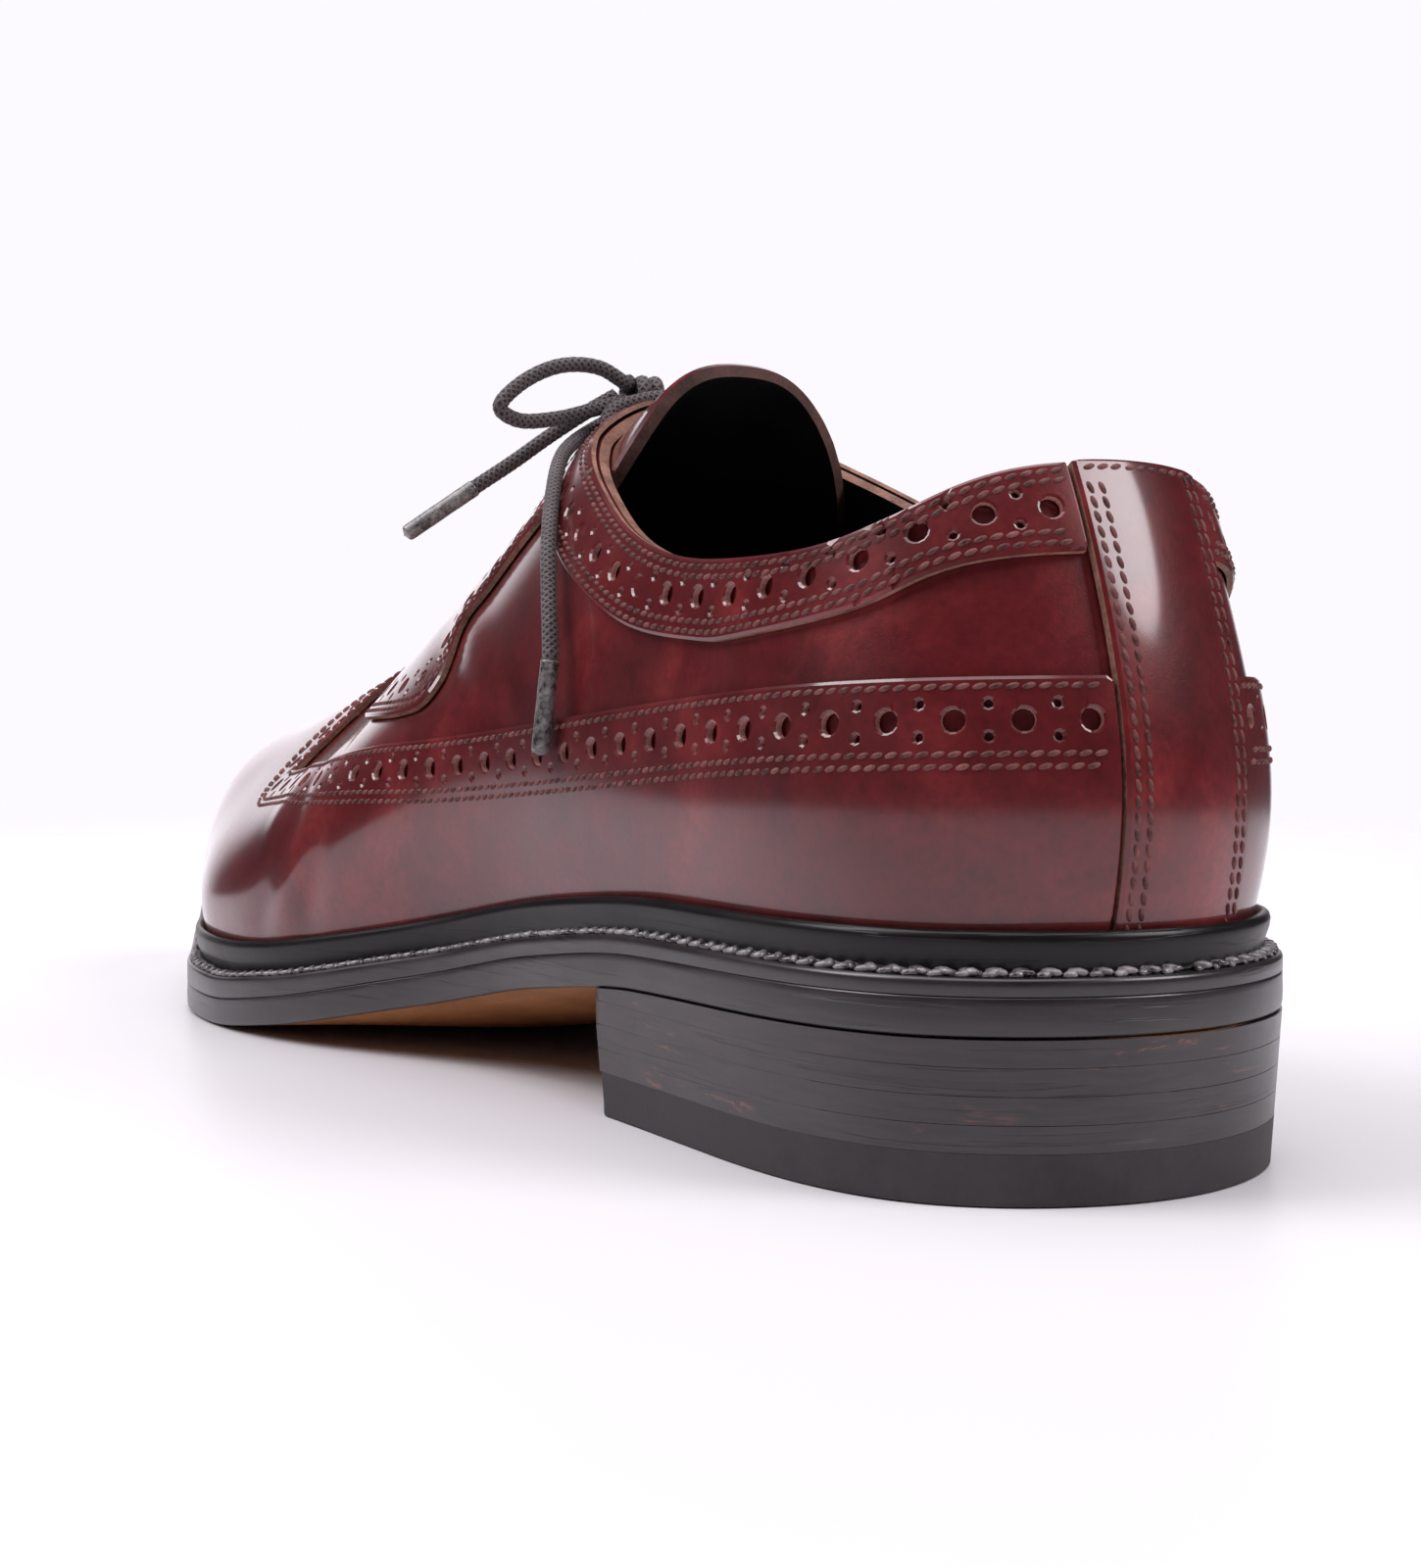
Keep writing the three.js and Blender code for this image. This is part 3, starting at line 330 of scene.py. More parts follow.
@dataclass
class Last:
    """Smooth surface that the shoe is pulled over.

    A place on it has a station u, which counts round the shoe from the back of the heel over the
    lateral side, and a level v, which rises from the feather edge at 0 to the ridge at TOP.
    """

    length: float = 302.0
    ball_width: float = 107.0
    heel_width: float = 75.0
    instep_height: float = 116.0
    heel_height: float = 20.5
    toe_spring: float = 8.8
    outsole: float = 5.0
    welt_rear: float = 2.2
    welt_front: float = 4.4
    gap: float = 0.3
    low: float = 0.30
    mid: float = 0.64
    width_from: float = 0.15
    width_to: float = 0.50
    toe_swing: float = 0.069
    swing_from: float = 0.60
    rounds: int = 60
    control: Array = field(init=False)

    def __post_init__(self) -> None:
        """Carry the surface through the sections."""
        wanted = np.array([self._section(i) for i in range(AROUND)])
        control = wanted.copy()
        for _ in range(self.rounds):
            ended = self._with_ends(control)
            across = (ended[:, :-2] + 4 * ended[:, 1:-1] + ended[:, 2:]) / 6
            reached = (np.roll(across, 1, axis=0) + 4 * across + np.roll(across, -1, axis=0)) / 6
            control += wanted - reached
        self.control = self._with_ends(control)

    def underside(self, x: Array) -> Array:
        """Height of the outsole's underside."""
        heights = [heel * self.heel_height + toe * self.toe_spring for _, heel, toe in UNDERSIDE]
        return monotone([row[0] * self.length for row in UNDERSIDE], heights, x)

    def welt_thickness(self, x: Array) -> Array:
        """Thickness of the welt's shelf."""
        return mix(self.welt_rear, self.welt_front, smooth(np.asarray(x) / self.length))

    def seat(self, x: Array) -> Array:
        """Height of the welt's shelf."""
        return self.underside(x) + self.outsole + self.gap + self.welt_thickness(x)

    def middle(self, x: Array) -> Array:
        """Centre line of the shoe seen from above."""
        share = (np.asarray(x) / self.length - self.swing_from) / (1 - self.swing_from)
        return -self.toe_swing * self.ball_width * smooth(share)

    def _section(self, index: int) -> Array:
        """Points of one station, from the feather edge to the ridge."""
        lateral = index <= LAST_STATION
        row = SECTIONS[index if lateral else AROUND - index]
        share, turn, out, inn, rise, crown, haunch_w, haunch_h = row[:8]
        side = LATERAL if lateral else MEDIAL
        x = share * self.length
        part = (share - self.width_from) / (self.width_to - self.width_from)
        width = mix(self.heel_width, self.ball_width, smooth(part))
        radii = [r * width for r in (out if lateral else inn)]
        angle = math.radians(turn)

        def fan(radius: float, z: float) -> list[float]:
            """Point of the section at a radius from its centre."""
            return [x - math.cos(angle) * radius, float(self.middle(x)) + side * math.sin(angle) * radius, z]

        base = float(self.seat(fan(radii[0], 0.0)[0])) + self.gap
        up, ridge = rise * self.instep_height, crown * self.instep_height
        return np.array([
            fan(radii[0], base),
            fan(radii[1], base + self.low * up),
            fan(radii[2], base + self.mid * up),
            fan(radii[3], base + up),
            fan(radii[3] * (1 - haunch_w), mix(base + up, ridge, haunch_h)),
            fan(0.0, ridge),
        ])

    @staticmethod
    def _with_ends(control: Array) -> Array:
        """Control points with one more below the feather edge and one beyond the ridge."""
        mirrored = control[(AROUND - np.arange(AROUND)) % AROUND, TOP - 1]
        below = 2 * control[:, 0] - control[:, 1]
        return np.concatenate([below[:, None], control, mirrored[:, None]], axis=1)

    def surface(self, u: Array, v: Array) -> Array:
        """Points of the bare last at stations u and levels v."""
        u, v = np.broadcast_arrays(np.asarray(u, float), np.asarray(v, float))
        column = np.floor(u).astype(int)
        level = np.clip(np.floor(v).astype(int), 0, TOP - 1)
        wu, wv = self._weights(u - column), self._weights(v - level)
        total = np.zeros((*u.shape, 3))
        for a in range(4):
            for b in range(4):
                total += self.control[(column - 1 + a) % AROUND, level + b] * (wu[a] * wv[b])[..., None]
        return total

    @staticmethod
    def _weights(t: Array) -> Array:
        """Weights of a uniform cubic B-spline."""
        s = 1 - t
        return np.stack([s**3, 3 * t**3 - 6 * t**2 + 4, -3 * t**3 + 3 * t**2 + 3 * t + 1, t**3]) / 6

    def slopes(self, u: Array, v: Array) -> tuple[Array, Array]:
        """Change of the surface with u and with v."""
        step = 0.02
        at = np.clip(v, step, TOP - step)
        along = (self.surface(u + step, at) - self.surface(u - step, at)) / (2 * step)
        up = (self.surface(u, at + step) - self.surface(u, at - step)) / (2 * step)
        return along, up

    def outward(self, u: Array, v: Array) -> Array:
        """Outward direction, level at the feather edge and without side lean on the ridge."""
        u, v = np.broadcast_arrays(np.asarray(u, float), np.asarray(v, float))
        along, up = self.slopes(u, np.minimum(v, TOP - 0.12))
        normal = unit(np.cross(up, along))
        level = unit(normal * (1, 1, 0))
        normal = unit(mix(level, normal, smooth(v / 0.4)[..., None]))
        upright = unit(normal * (1, 0, 1))
        return unit(mix(normal, upright, smooth((v - TOP + 0.12) / 0.12)[..., None]))

    def point(self, u: Array, v: Array, lift: Array) -> Array:
        """Points raised over the last, with the folds of the leather."""
        base = self.surface(u, v)
        folds = sum(crease.at(base) for crease in CREASES)
        fade = smooth(np.asarray(v) / 0.8)
        lift = np.asarray(lift, float) + folds * fade
        return base + self.outward(u, v) * lift[..., None]

    def settle(self, u: Array, v: Array, target: Array, rounds: int = 4) -> tuple[Array, Array]:
        """Nearest places of the surface to points that lie near it.

        Args:
            u: Stations to start from.
            v: Levels to start from.
            target: Points to come close to.
            rounds: Steps of the search.

        Returns:
            Stations and levels, with what passes the ridge turned to the other side.
        """
        u, v = np.array(u, float), np.array(v, float)
        for _ in range(rounds):
            along, up = self.slopes(u, v)
            miss = target - self.surface(u, v)
            aa, ab, bb = (along**2).sum(-1), (along * up).sum(-1), (up**2).sum(-1)
            ma, mb = (along * miss).sum(-1), (up * miss).sum(-1)
            det = np.maximum(aa * bb - ab * ab, 1e-9)
            u = u + np.clip((ma * bb - mb * ab) / det, -0.5, 0.5)
            v = v + np.clip((mb * aa - ma * ab) / det, -0.5, 0.5)
            over = v > TOP
            v = np.where(over, 2 * TOP - v, np.maximum(v, 0.0))
            u = np.where(over, AROUND - u, u) % AROUND
        return u, v

    def level_at(self, u: Array, z: Array) -> Array:
        """Level where the surface of a station has the height z."""
        low, high = np.zeros_like(u), np.full_like(u, float(TOP))
        for _ in range(24):
            half = (low + high) / 2
            above = self.surface(u, half)[..., 2] > z
            high, low = np.where(above, half, high), np.where(above, low, half)
        return (low + high) / 2

    def spread(self, u: Array, v: Array) -> Array:
        """Places laid out flat, as a pattern that is opened from the ridge."""
        turned = np.asarray(u, float) % AROUND
        side = np.where(turned <= LAST_STATION, 1.0, -1.0)
        station = np.where(turned <= LAST_STATION, turned, AROUND - turned)
        rows = np.arange(LAST_STATION + 1)
        centre = np.interp(station, rows, [row[0] * self.length for row in SECTIONS])
        angle = np.radians(np.interp(station, rows, [row[1] for row in SECTIONS]))
        reach = (TOP - np.asarray(v, float)) * 18.0
        return np.stack([centre - np.cos(angle) * reach, side * np.sin(angle) * reach], axis=-1)

    def rim(self, u: Array, margin: float) -> Array:
        """Outline that runs beside the feather edge at the sole's margin."""
        turned = np.asarray(u, float) % AROUND
        stations = np.arange(AROUND + 1)
        rows = [SECTIONS[i if i <= LAST_STATION else AROUND - i] for i in range(AROUND + 1)]
        shares = [row[8] if i <= LAST_STATION else row[9] for i, row in enumerate(rows)]
        share = np.interp(turned, stations, shares)
        normal = self.outward(turned, np.zeros_like(turned))
        return self.surface(turned, np.zeros_like(turned)) + normal * (margin * share)[..., None]


@dataclass
class Chart:
    """Fine net of places on the last, on which edges and rows of stitches are drawn."""

    last: Last
    per_station: int = 20
    per_level: int = 24
    u: Array = field(init=False)
    v: Array = field(init=False)
    points: Array = field(init=False)

    def __post_init__(self) -> None:
        """Lay the net."""
        columns = np.arange(AROUND * self.per_station) / self.per_station
        levels = np.arange(TOP * self.per_level + 1) / self.per_level
        self.u, self.v = np.meshgrid(columns, levels, indexing="ij")
        self.points = self.last.surface(self.u, self.v)

    def side_view(self, out: Sequence, inn: Sequence, above: bool) -> Array:
        """Signed distance from an edge that is drawn in side view.

        Args:
            out: Rows of the lateral edge.
            inn: Rows of the medial edge.
            above: Whether the positive side lies above the edge.

        Returns:
            The distances over the net.
        """
        far = 400.0 if above else -400.0
        field_ = np.empty(self.u.shape)
        lateral = self.u <= LAST_STATION
        for rows, part in ((out, lateral), (inn, ~lateral)):
            line = np.array(rows) * (self.last.length, self.last.instep_height)
            line = catmull_rom(line, 1.5, 0.0001)
            close = [(line[-1, 0], far), (line[0, 0], far)]
            field_[part] = side_of_line(self.points[part][:, [0, 2]], line, close)
        return field_

    def distance_to(self, line: Array) -> Array:
        """Distance of the net's places from a line in space."""
        return distances(self.points.reshape(-1, 3), line).reshape(self.u.shape)

    def contours(self, values: Array, closed_below: bool = False) -> list[Array]:
        """Lines where a field over the net is nil.

        Args:
            values: Field over the net.
            closed_below: Whether the lines run on along the feather edge.

        Returns:
            Chains of places (u, v). A closed chain repeats its first place at its end.
        """
        floor = np.full((len(values), 1), -1.0 if closed_below else 0.0)
        if closed_below:
            values = np.concatenate([floor, values], axis=1)
        columns, rows = values.shape
        shift = 1 if closed_below else 0
        positive = values > 0
        corner = [positive[:, :-1], np.roll(positive, -1, axis=0)[:, :-1],
                  np.roll(positive, -1, axis=0)[:, 1:], positive[:, 1:]]
        total = sum(part.astype(int) for part in corner)
        links: dict[tuple, list[tuple]] = {}
        for i, j in zip(*np.nonzero((total > 0) & (total < 4))):
            signs = [bool(part[i, j]) for part in corner]
            top = ("h", min(i, columns - 1 - i), j + 1) if j + 1 == rows - 1 else ("h", i, j + 1)
            edges = [("h", i, j), ("v", (i + 1) % columns, j), top, ("v", i, j)]
            cut = [edges[k] for k in range(4) if signs[k] != signs[(k + 1) % 4]]
            pairs = [(cut[0], cut[1])] if len(cut) == 2 else [(cut[0], cut[3]), (cut[1], cut[2])]
            for a, b in pairs:
                links.setdefault(a, []).append(b)
                links.setdefault(b, []).append(a)

        def place(edge: tuple) -> tuple[float, float]:
            """Place where the field crosses nil on an edge of the net."""
            kind, i, j = edge
            i2, j2 = ((i + 1) % columns, j) if kind == "h" else (i, j + 1)
            a, b = values[i, j], values[i2, j2]
            t = a / (a - b)
            u = (i + (t if kind == "h" else 0.0)) / self.per_station
            row, next_row = max(j - shift, 0), max(j2 - shift, 0)
            v = mix(row, next_row, 0.0 if kind == "h" else t) / self.per_level
            return u % AROUND, float(v)

        chains, left = [], set(links)
        starts = [edge for edge in links if len(links[edge]) == 1] + list(links)
        for start in starts:
            if start not in left:
                continue
            chain, here = [start], start
            left.discard(start)
            while True:
                onward = [edge for edge in links[here] if edge in left]
                if not onward:
                    break
                here = onward[0]
                left.discard(here)
                chain.append(here)
            if len(chain) > 2 and start in links[here]:
                chain.append(start)
            chains.append(np.array([place(edge) for edge in chain]))
        return [chain for chain in chains if len(chain) > 6]

    def read(self, values: Array, u: Array, v: Array) -> Array:
        """Field values at places between the net's own."""
        a = (np.asarray(u) % AROUND) * self.per_station
        b = np.clip(np.asarray(v) * self.per_level, 0, values.shape[1] - 1.001)
        i, j = np.floor(a).astype(int), np.floor(b).astype(int)
        s, t = a - i, b - j
        k = (i + 1) % len(values)
        i = i % len(values)
        low = mix(values[i, j], values[k, j], s)
        high = mix(values[i, j + 1], values[k, j + 1], s)
        return mix(low, high, t)


class Fields:
    """Signed fields over the chart, one for each edge that the leather is cut to."""

    def __init__(self, chart: Chart, sizes: "Upper") -> None:
        """Draw the edges.

        Args:
            chart: Net of the last.
            sizes: Widths and gaps of the upper.
        """
        last = chart.last
        x, y = chart.points[..., 0], chart.points[..., 1]
        self.topline = -chart.side_view(TOPLINE_OUT, TOPLINE_INN, above=True)
        self.band = chart.side_view(BAND_EDGE + EYESTAY_EDGE, BAND_EDGE + EYESTAY_EDGE, above=True)
        peak = np.array(WING_PEAK) * (last.length, last.ball_width)
        peak = catmull_rom(peak, 1.0, 0.0001)
        far = [(500.0, peak[-1, 1]), (500.0, peak[0, 1])]
        plan = side_of_line(chart.points[..., :2].reshape(-1, 2), peak, far).reshape(x.shape)
        self.wing = np.maximum(-chart.side_view(WING_EDGE, WING_EDGE, above=True), plan)
        self.strap = np.abs(y + sizes.strap_shift) - sizes.strap_width / 2
        self.strap = np.where(x < SECTIONS[0][0] * last.length, self.strap, 99.0)
        end = sizes.throat * last.length
        half = sizes.half_gap(x)
        round_ = np.hypot(x - (end - sizes.throat_gap / 2), y) - sizes.throat_gap / 2
        self.slit = np.where(x < end - sizes.throat_gap / 2, np.abs(y) - half, round_)
        self.slit = np.where(x < sizes.facing_top * last.length, 99.0, self.slit)
        self.throat = end - x


@dataclass(frozen=True)
class Hole:
    """Punched hole of the broguing."""

    u: float
    v: float
    radius: float
    sides: int


class Layer(Enum):
    """Material slots of a leather piece."""

    GRAIN = 0
    FLESH = 1
    EDGE = 2
    HOLE = 3


def keep_object(name: str, mesh: Mesh, materials: Sequence) -> Piece:
    """Make an object of a mesh in metres and let it ride on the body.

    Args:
        name: Name of the piece.
        mesh: Its mesh.
        materials: Materials, in the order of the mesh's indices.

    Returns:
        The object.
    """
    for material in materials:
        mesh.materials.append(material)
    piece = bpy.data.objects.new(name, mesh)
    bpy.context.scene.collection.objects.link(piece)
    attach(piece, ROOT)
    LOG.info("%s: %d faces", name, len(mesh.polygons))
    return piece


@dataclass
class Place:
    """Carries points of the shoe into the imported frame."""

    shift: Array

    def metres(self, points: Array) -> Array:
        """Points in metres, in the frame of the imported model."""
        return (np.asarray(points, float) + self.shift) * MM


@dataclass
class PatternPiece:
    """Piece of leather that is cut flat, punched and laid over the last.

    Args:
        name: Name of the piece.
        chart: Net of the last.
        region: Field that is positive inside the piece.
        lift: Height of its underside over the last.
        thickness: Thickness of the leather.
        pitch: Distance of the inner points.
        holes: Holes to punch.
        skived: How far the edge is rounded down.
    """

    name: str
    chart: Chart
    region: Array
    lift: float
    thickness: float
    pitch: float = 2.1
    holes: Sequence[Hole] = ()
    skived: float = 0.35
    edge_pitch: float = 1.1
    edge_round: float = 0.45
    least_loop: float = 8.0
    hole_round: float = 0.3
    hole_skived: float = 0.8
    clear: float = 0.3
    crowding: float = 0.62

    def outline(self) -> list[Array]:
        """Closed outlines as places, the outer ones against and the inner ones with the clock."""
        last = self.chart.last
        loops = []
        for chain in self.chart.contours(self.region, closed_below=True):
            along = arc_lengths(last.surface(*chain.T))
            if along[-1] < self.least_loop:
                continue
            count = max(8, int(along[-1] / self.edge_pitch))
            picks = np.unique(np.searchsorted(along, np.linspace(0, along[-1], count, endpoint=False)))
            loops.append(chain[picks])
        flats = [last.spread(*loop.T) for loop in loops]
        result = []
        for k, (loop, flat) in enumerate(zip(loops, flats)):
            others = [other for m, other in enumerate(flats) if m != k]
            inner = bool(others) and bool(inside_loops(flat[:1], others)[0])
            x, y = flat[:, 0], flat[:, 1]
            area = (x * np.roll(y, -1) - y * np.roll(x, -1)).sum()
            result.append(loop[::-1] if (area > 0) == inner else loop)
        return result

    def _round_hole(self, hole: Hole, radius: float) -> Array:
        """Places round a hole, with the clock."""
        last = self.chart.last
        u, v = np.full(hole.sides, hole.u), np.full(hole.sides, hole.v)
        along, _ = last.slopes(u, v)
        normal, ahead = last.outward(u, v), unit(along)
        beside = unit(np.cross(normal, ahead))
        ahead = np.cross(beside, normal)
        angle = -2 * np.pi * np.arange(hole.sides)[:, None] / hole.sides
        target = last.surface(u, v) + radius * (np.cos(angle) * ahead + np.sin(angle) * beside)
        return np.stack(last.settle(u, v, target), axis=1)

    def _ring_inside(self, loop: Array) -> Array:
        """Places just inside an outline."""
        last = self.chart.last
        points = last.surface(*loop.T)
        tangent = unit(np.roll(points, -1, axis=0) - np.roll(points, 1, axis=0))
        inward = unit(np.cross(last.outward(*loop.T), tangent))
        u, v = last.settle(*loop.T, points + inward * self.edge_round)
        inside = self.chart.read(self.region, u, v) > self.clear / 2
        return np.stack([u, v], axis=1)[(loop[:, 1] > FEATHER) & inside]

    def _filling(self) -> Array:
        """Even places over the whole last."""
        last = self.chart.last
        rows = []
        spans = last.surface(np.full(60, 6.0), np.linspace(0, TOP, 60))
        count = int(arc_lengths(spans)[-1] / self.pitch)
        for k, v in enumerate(np.linspace(0, TOP, count + 1)):
            dense = np.linspace(0, AROUND, 1600)
            along = arc_lengths(last.surface(dense, np.full(1600, v)))
            steps = max(8, int(along[-1] / self.pitch))
            at = (np.arange(steps) + 0.5 * (k % 2)) / steps * along[-1]
            rows.append(np.stack([np.interp(at, along, dense) % AROUND, np.full(steps, v)], axis=1))
        return np.vstack(rows)

    def net(self) -> tuple[Array, Array, Array, Array]:
        """Triangles of the piece.

        Returns:
            Places, how far each lies below the grain, the edge it is on, and the triangles.
        """
        last = self.chart.last
        loops = self.outline()
        kept = [hole for hole in self.holes if float(self.chart.read(self.region, hole.u, hole.v)) > hole.radius]
        fixed = loops + [self._round_hole(hole, hole.radius) for hole in kept]
        drops = [np.where(loop[:, 1] > FEATHER, self.skived, 0.0) for loop in loops]
        drops += [np.full(hole.sides, self.skived * self.hole_skived) for hole in kept]
        edges, border = [], 0
        for loop in fixed:
            edges += [(border + i, border + (i + 1) % len(loop)) for i in range(len(loop))]
            border += len(loop)
        rings = [self._ring_inside(loop) for loop in loops]
        inner = np.vstack(rings + [self._round_hole(hole, hole.radius + self.hole_round) for hole in kept])
        filling = self._filling()
        filling = filling[self.chart.read(self.region, *filling.T) > self.clear]
        points = last.surface(*filling.T)
        clear = distances(points, last.surface(*np.vstack([*fixed, inner]).T)) > self.pitch / 2
        keys = np.round(points / (self.crowding * self.pitch)).astype(int)
        single = np.zeros(len(points), bool)
        single[np.unique(keys, axis=0, return_index=True)[1]] = True
        filling = filling[clear & single]
        places = np.vstack([*fixed, inner, filling])
        drop = np.concatenate([*drops, np.zeros(len(inner) + len(filling))])
        flat = last.spread(*places.T)
        out = delaunay_2d_cdt([Vector(p) for p in flat], edges, [], 0, 1e-6, True)
        names = [ids[0] if ids else -1 for ids in out[3]]
        if min(names) < 0:
            where = np.array([tuple(p) for p in out[0]])
            for k, name in enumerate(names):
                if name < 0:
                    names[k] = int(np.argmin(((flat - where[k]) ** 2).sum(1)))
        triangles = np.array([[names[k] for k in face] for face in out[2]])
        mixed = (triangles >= border).any(axis=1)
        outer = [last.spread(*loop.T) for loop in fixed]
        doubtful = np.nonzero(~mixed)[0]
        centres = flat[triangles[doubtful]].mean(axis=1)
        mixed[doubtful] = inside_loops(centres, outer)
        triangles = triangles[mixed]
        distinct = (triangles[:, 0] != triangles[:, 1]) & (triangles[:, 1] != triangles[:, 2])
        triangles = triangles[distinct & (triangles[:, 0] != triangles[:, 2])]
        kind = np.zeros(len(places), int)
        kind[:border] = Layer.HOLE.value
        kind[: sum(len(loop) for loop in loops)] = Layer.EDGE.value
        return places, drop, kind, triangles

    def make(self, place: Place, slot: str, materials: Sequence) -> Piece:
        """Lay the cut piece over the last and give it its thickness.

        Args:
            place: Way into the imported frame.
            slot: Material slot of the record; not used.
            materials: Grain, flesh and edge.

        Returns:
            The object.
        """
        last = self.chart.last
        places, drop, kind, triangles = self.net()
        u, v = places.T
        grain = last.point(u, v, self.lift + self.thickness - drop)
        flesh = last.point(u, v, np.full(len(u), self.lift))
        feather = v < FEATHER
        for layer in (grain, flesh):
            layer[feather, 2] = last.seat(layer[feather, 0]) + last.gap
        mesh = bpy.data.meshes.new(self.name)
        mesh.from_pydata(place.metres(grain).tolist(), [], triangles.tolist())
        bm = bmesh.new()
        bm.from_mesh(mesh)
        number = bm.verts.layers.int.new("number")
        for k, vert in enumerate(bm.verts):
            vert[number] = k
        loose = [vert for vert in bm.verts if not vert.link_faces]
        bmesh.ops.delete(bm, geom=loose, context="VERTS")
        grain_faces = bm.faces[:]
        made = bmesh.ops.extrude_face_region(bm, geom=grain_faces, use_keep_orig=True)["geom"]
        under = place.metres(flesh)
        flesh_faces = [part for part in made if isinstance(part, bmesh.types.BMFace)]
        for part in made:
            if isinstance(part, bmesh.types.BMVert):
                part.co = under[part[number]]
        known = set(grain_faces) | set(flesh_faces)
        for face in bm.faces:
            face.smooth = True
            side = max(int(kind[vert[number]]) for vert in face.verts)
            face.material_index = Layer.GRAIN.value if face in known else side
        for face in flesh_faces:
            face.material_index = Layer.FLESH.value
        bmesh.ops.recalc_face_normals(bm, faces=bm.faces)
        bm.to_mesh(mesh)
        bm.free()
        self._set_normals(mesh, places)
        return keep_object(self.name, mesh, materials)

    def _set_normals(self, mesh: Mesh, places: Array) -> None:
        """Shade grain and flesh by the surface itself, and the cut edges flat."""
        last = self.chart.last
        u, v = places.T
        step, bare = 0.03, np.zeros(len(u))
        inner = np.clip(v, 2 * step, TOP - 2 * step)
        along = last.point(u + step, inner, bare) - last.point(u - step, inner, bare)
        up = last.point(u, inner + step, bare) - last.point(u, inner - step, bare)
        smooth_normal = unit(np.cross(up, along))
        ridge = v > TOP - 0.05
        smooth_normal[ridge] = unit(smooth_normal[ridge] * (1, 0, 1))
        count = len(mesh.loops)
        vertex = np.empty(count, np.int32)
        mesh.loops.foreach_get("vertex_index", vertex)
        number = np.empty(len(mesh.vertices), np.int32)
        mesh.attributes["number"].data.foreach_get("value", number)
        faces = len(mesh.polygons)
        starts, totals = np.empty(faces, np.int32), np.empty(faces, np.int32)
        kinds, flat = np.empty(faces, np.int32), np.empty(faces * 3, np.float32)
        mesh.polygons.foreach_get("loop_start", starts)
        mesh.polygons.foreach_get("loop_total", totals)
        mesh.polygons.foreach_get("material_index", kinds)
        mesh.polygons.foreach_get("normal", flat)
        owner = np.repeat(np.arange(faces), totals)
        kind = kinds[owner]
        normals = smooth_normal[number[vertex]]
        normals = np.where((kind == Layer.FLESH.value)[:, None], -normals, normals)
        own = flat.reshape(-1, 3)[owner]
        normals = np.where((kind >= Layer.EDGE.value)[:, None], own, normals)
        tilted = (kind == Layer.GRAIN.value) & ((normals * own).sum(1) < 0.965)
        normals = np.where(tilted[:, None], unit(normals + own), normals)
        mesh.normals_split_custom_set(normals.astype(np.float32).tolist())
        mesh.attributes.remove(mesh.attributes["number"])


def template_bead(length: float, width: float, height: float) -> Mesh:
    """Small rounded bead along X, made for laying many times."""
    bm = bmesh.new()
    bmesh.ops.create_uvsphere(bm, u_segments=7, v_segments=5, radius=0.5)
    bmesh.ops.rotate(bm, verts=bm.verts, cent=(0, 0, 0), matrix=Matrix.Rotation(math.pi / 2, 3, "Y"))
    bmesh.ops.scale(bm, verts=bm.verts, vec=(length, width, height))
    for face in bm.faces:
        face.smooth = True
    return take_mesh(bm, "bead")


@dataclass
class Stitching:
    """Rows of stitches that are gathered into one mesh.

    Args:
        length: Length of a stitch.
        width: Thickness of the thread.
        pitch: Distance from one stitch to the next.
        tilt: Turn of each stitch out of its row, in degrees.
    """

    length: float
    width: float
    pitch: float
    tilt: float = 0.0
    centres: list[Array] = field(default_factory=list)
    turns: list[Array] = field(default_factory=list)

    def sew(self, line: Array, normals: Array, sink: float = 0.0, offset: float = 0.0) -> None:
        """Lay stitches along a line.

        Args:
            line: Points of the line on the leather.
            normals: Outward directions there.
            sink: How far the stitches lie in the leather.
            offset: Share of a pitch at which the row begins.
        """
        along = arc_lengths(line)
        at = np.arange((0.5 + offset) * self.pitch, along[-1] - 0.4 * self.pitch, self.pitch)
        if len(at) == 0:
            return
        step = 0.35 * self.pitch
        spot, ahead, behind = (along_line(at + move, along, line) for move in (0.0, step, -step))
        up = unit(along_line(at, along, normals))
        run = unit(ahead - behind)
        side = unit(np.cross(up, run))
        run = np.cross(side, up)
        tilt = math.radians(self.tilt)
        run, side = run * math.cos(tilt) + side * math.sin(tilt), side * math.cos(tilt) - run * math.sin(tilt)
        self.centres.append(spot - up * sink)
        self.turns.append(np.stack([run, side, up], axis=2))

    def make(self, name: str, place: Place, slot: str, material: Material) -> Piece:
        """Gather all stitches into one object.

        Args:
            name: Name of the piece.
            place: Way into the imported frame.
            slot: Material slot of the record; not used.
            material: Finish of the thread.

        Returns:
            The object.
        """
        bead = template_bead(self.length, self.width, self.width * 0.85)
        rest = np.empty(len(bead.vertices) * 3, np.float32)
        bead.vertices.foreach_get("co", rest)
        rest = rest.reshape(-1, 3)
        bm = bmesh.new()
        for centre, turn in zip(np.vstack(self.centres), np.vstack(self.turns)):
            moved = place.metres(rest @ turn.T + centre)
            bead.vertices.foreach_set("co", moved.astype(np.float32).ravel())
            bm.from_mesh(bead)
        bpy.data.meshes.remove(bead)
        return keep_object(name, take_mesh(bm, name), [material])


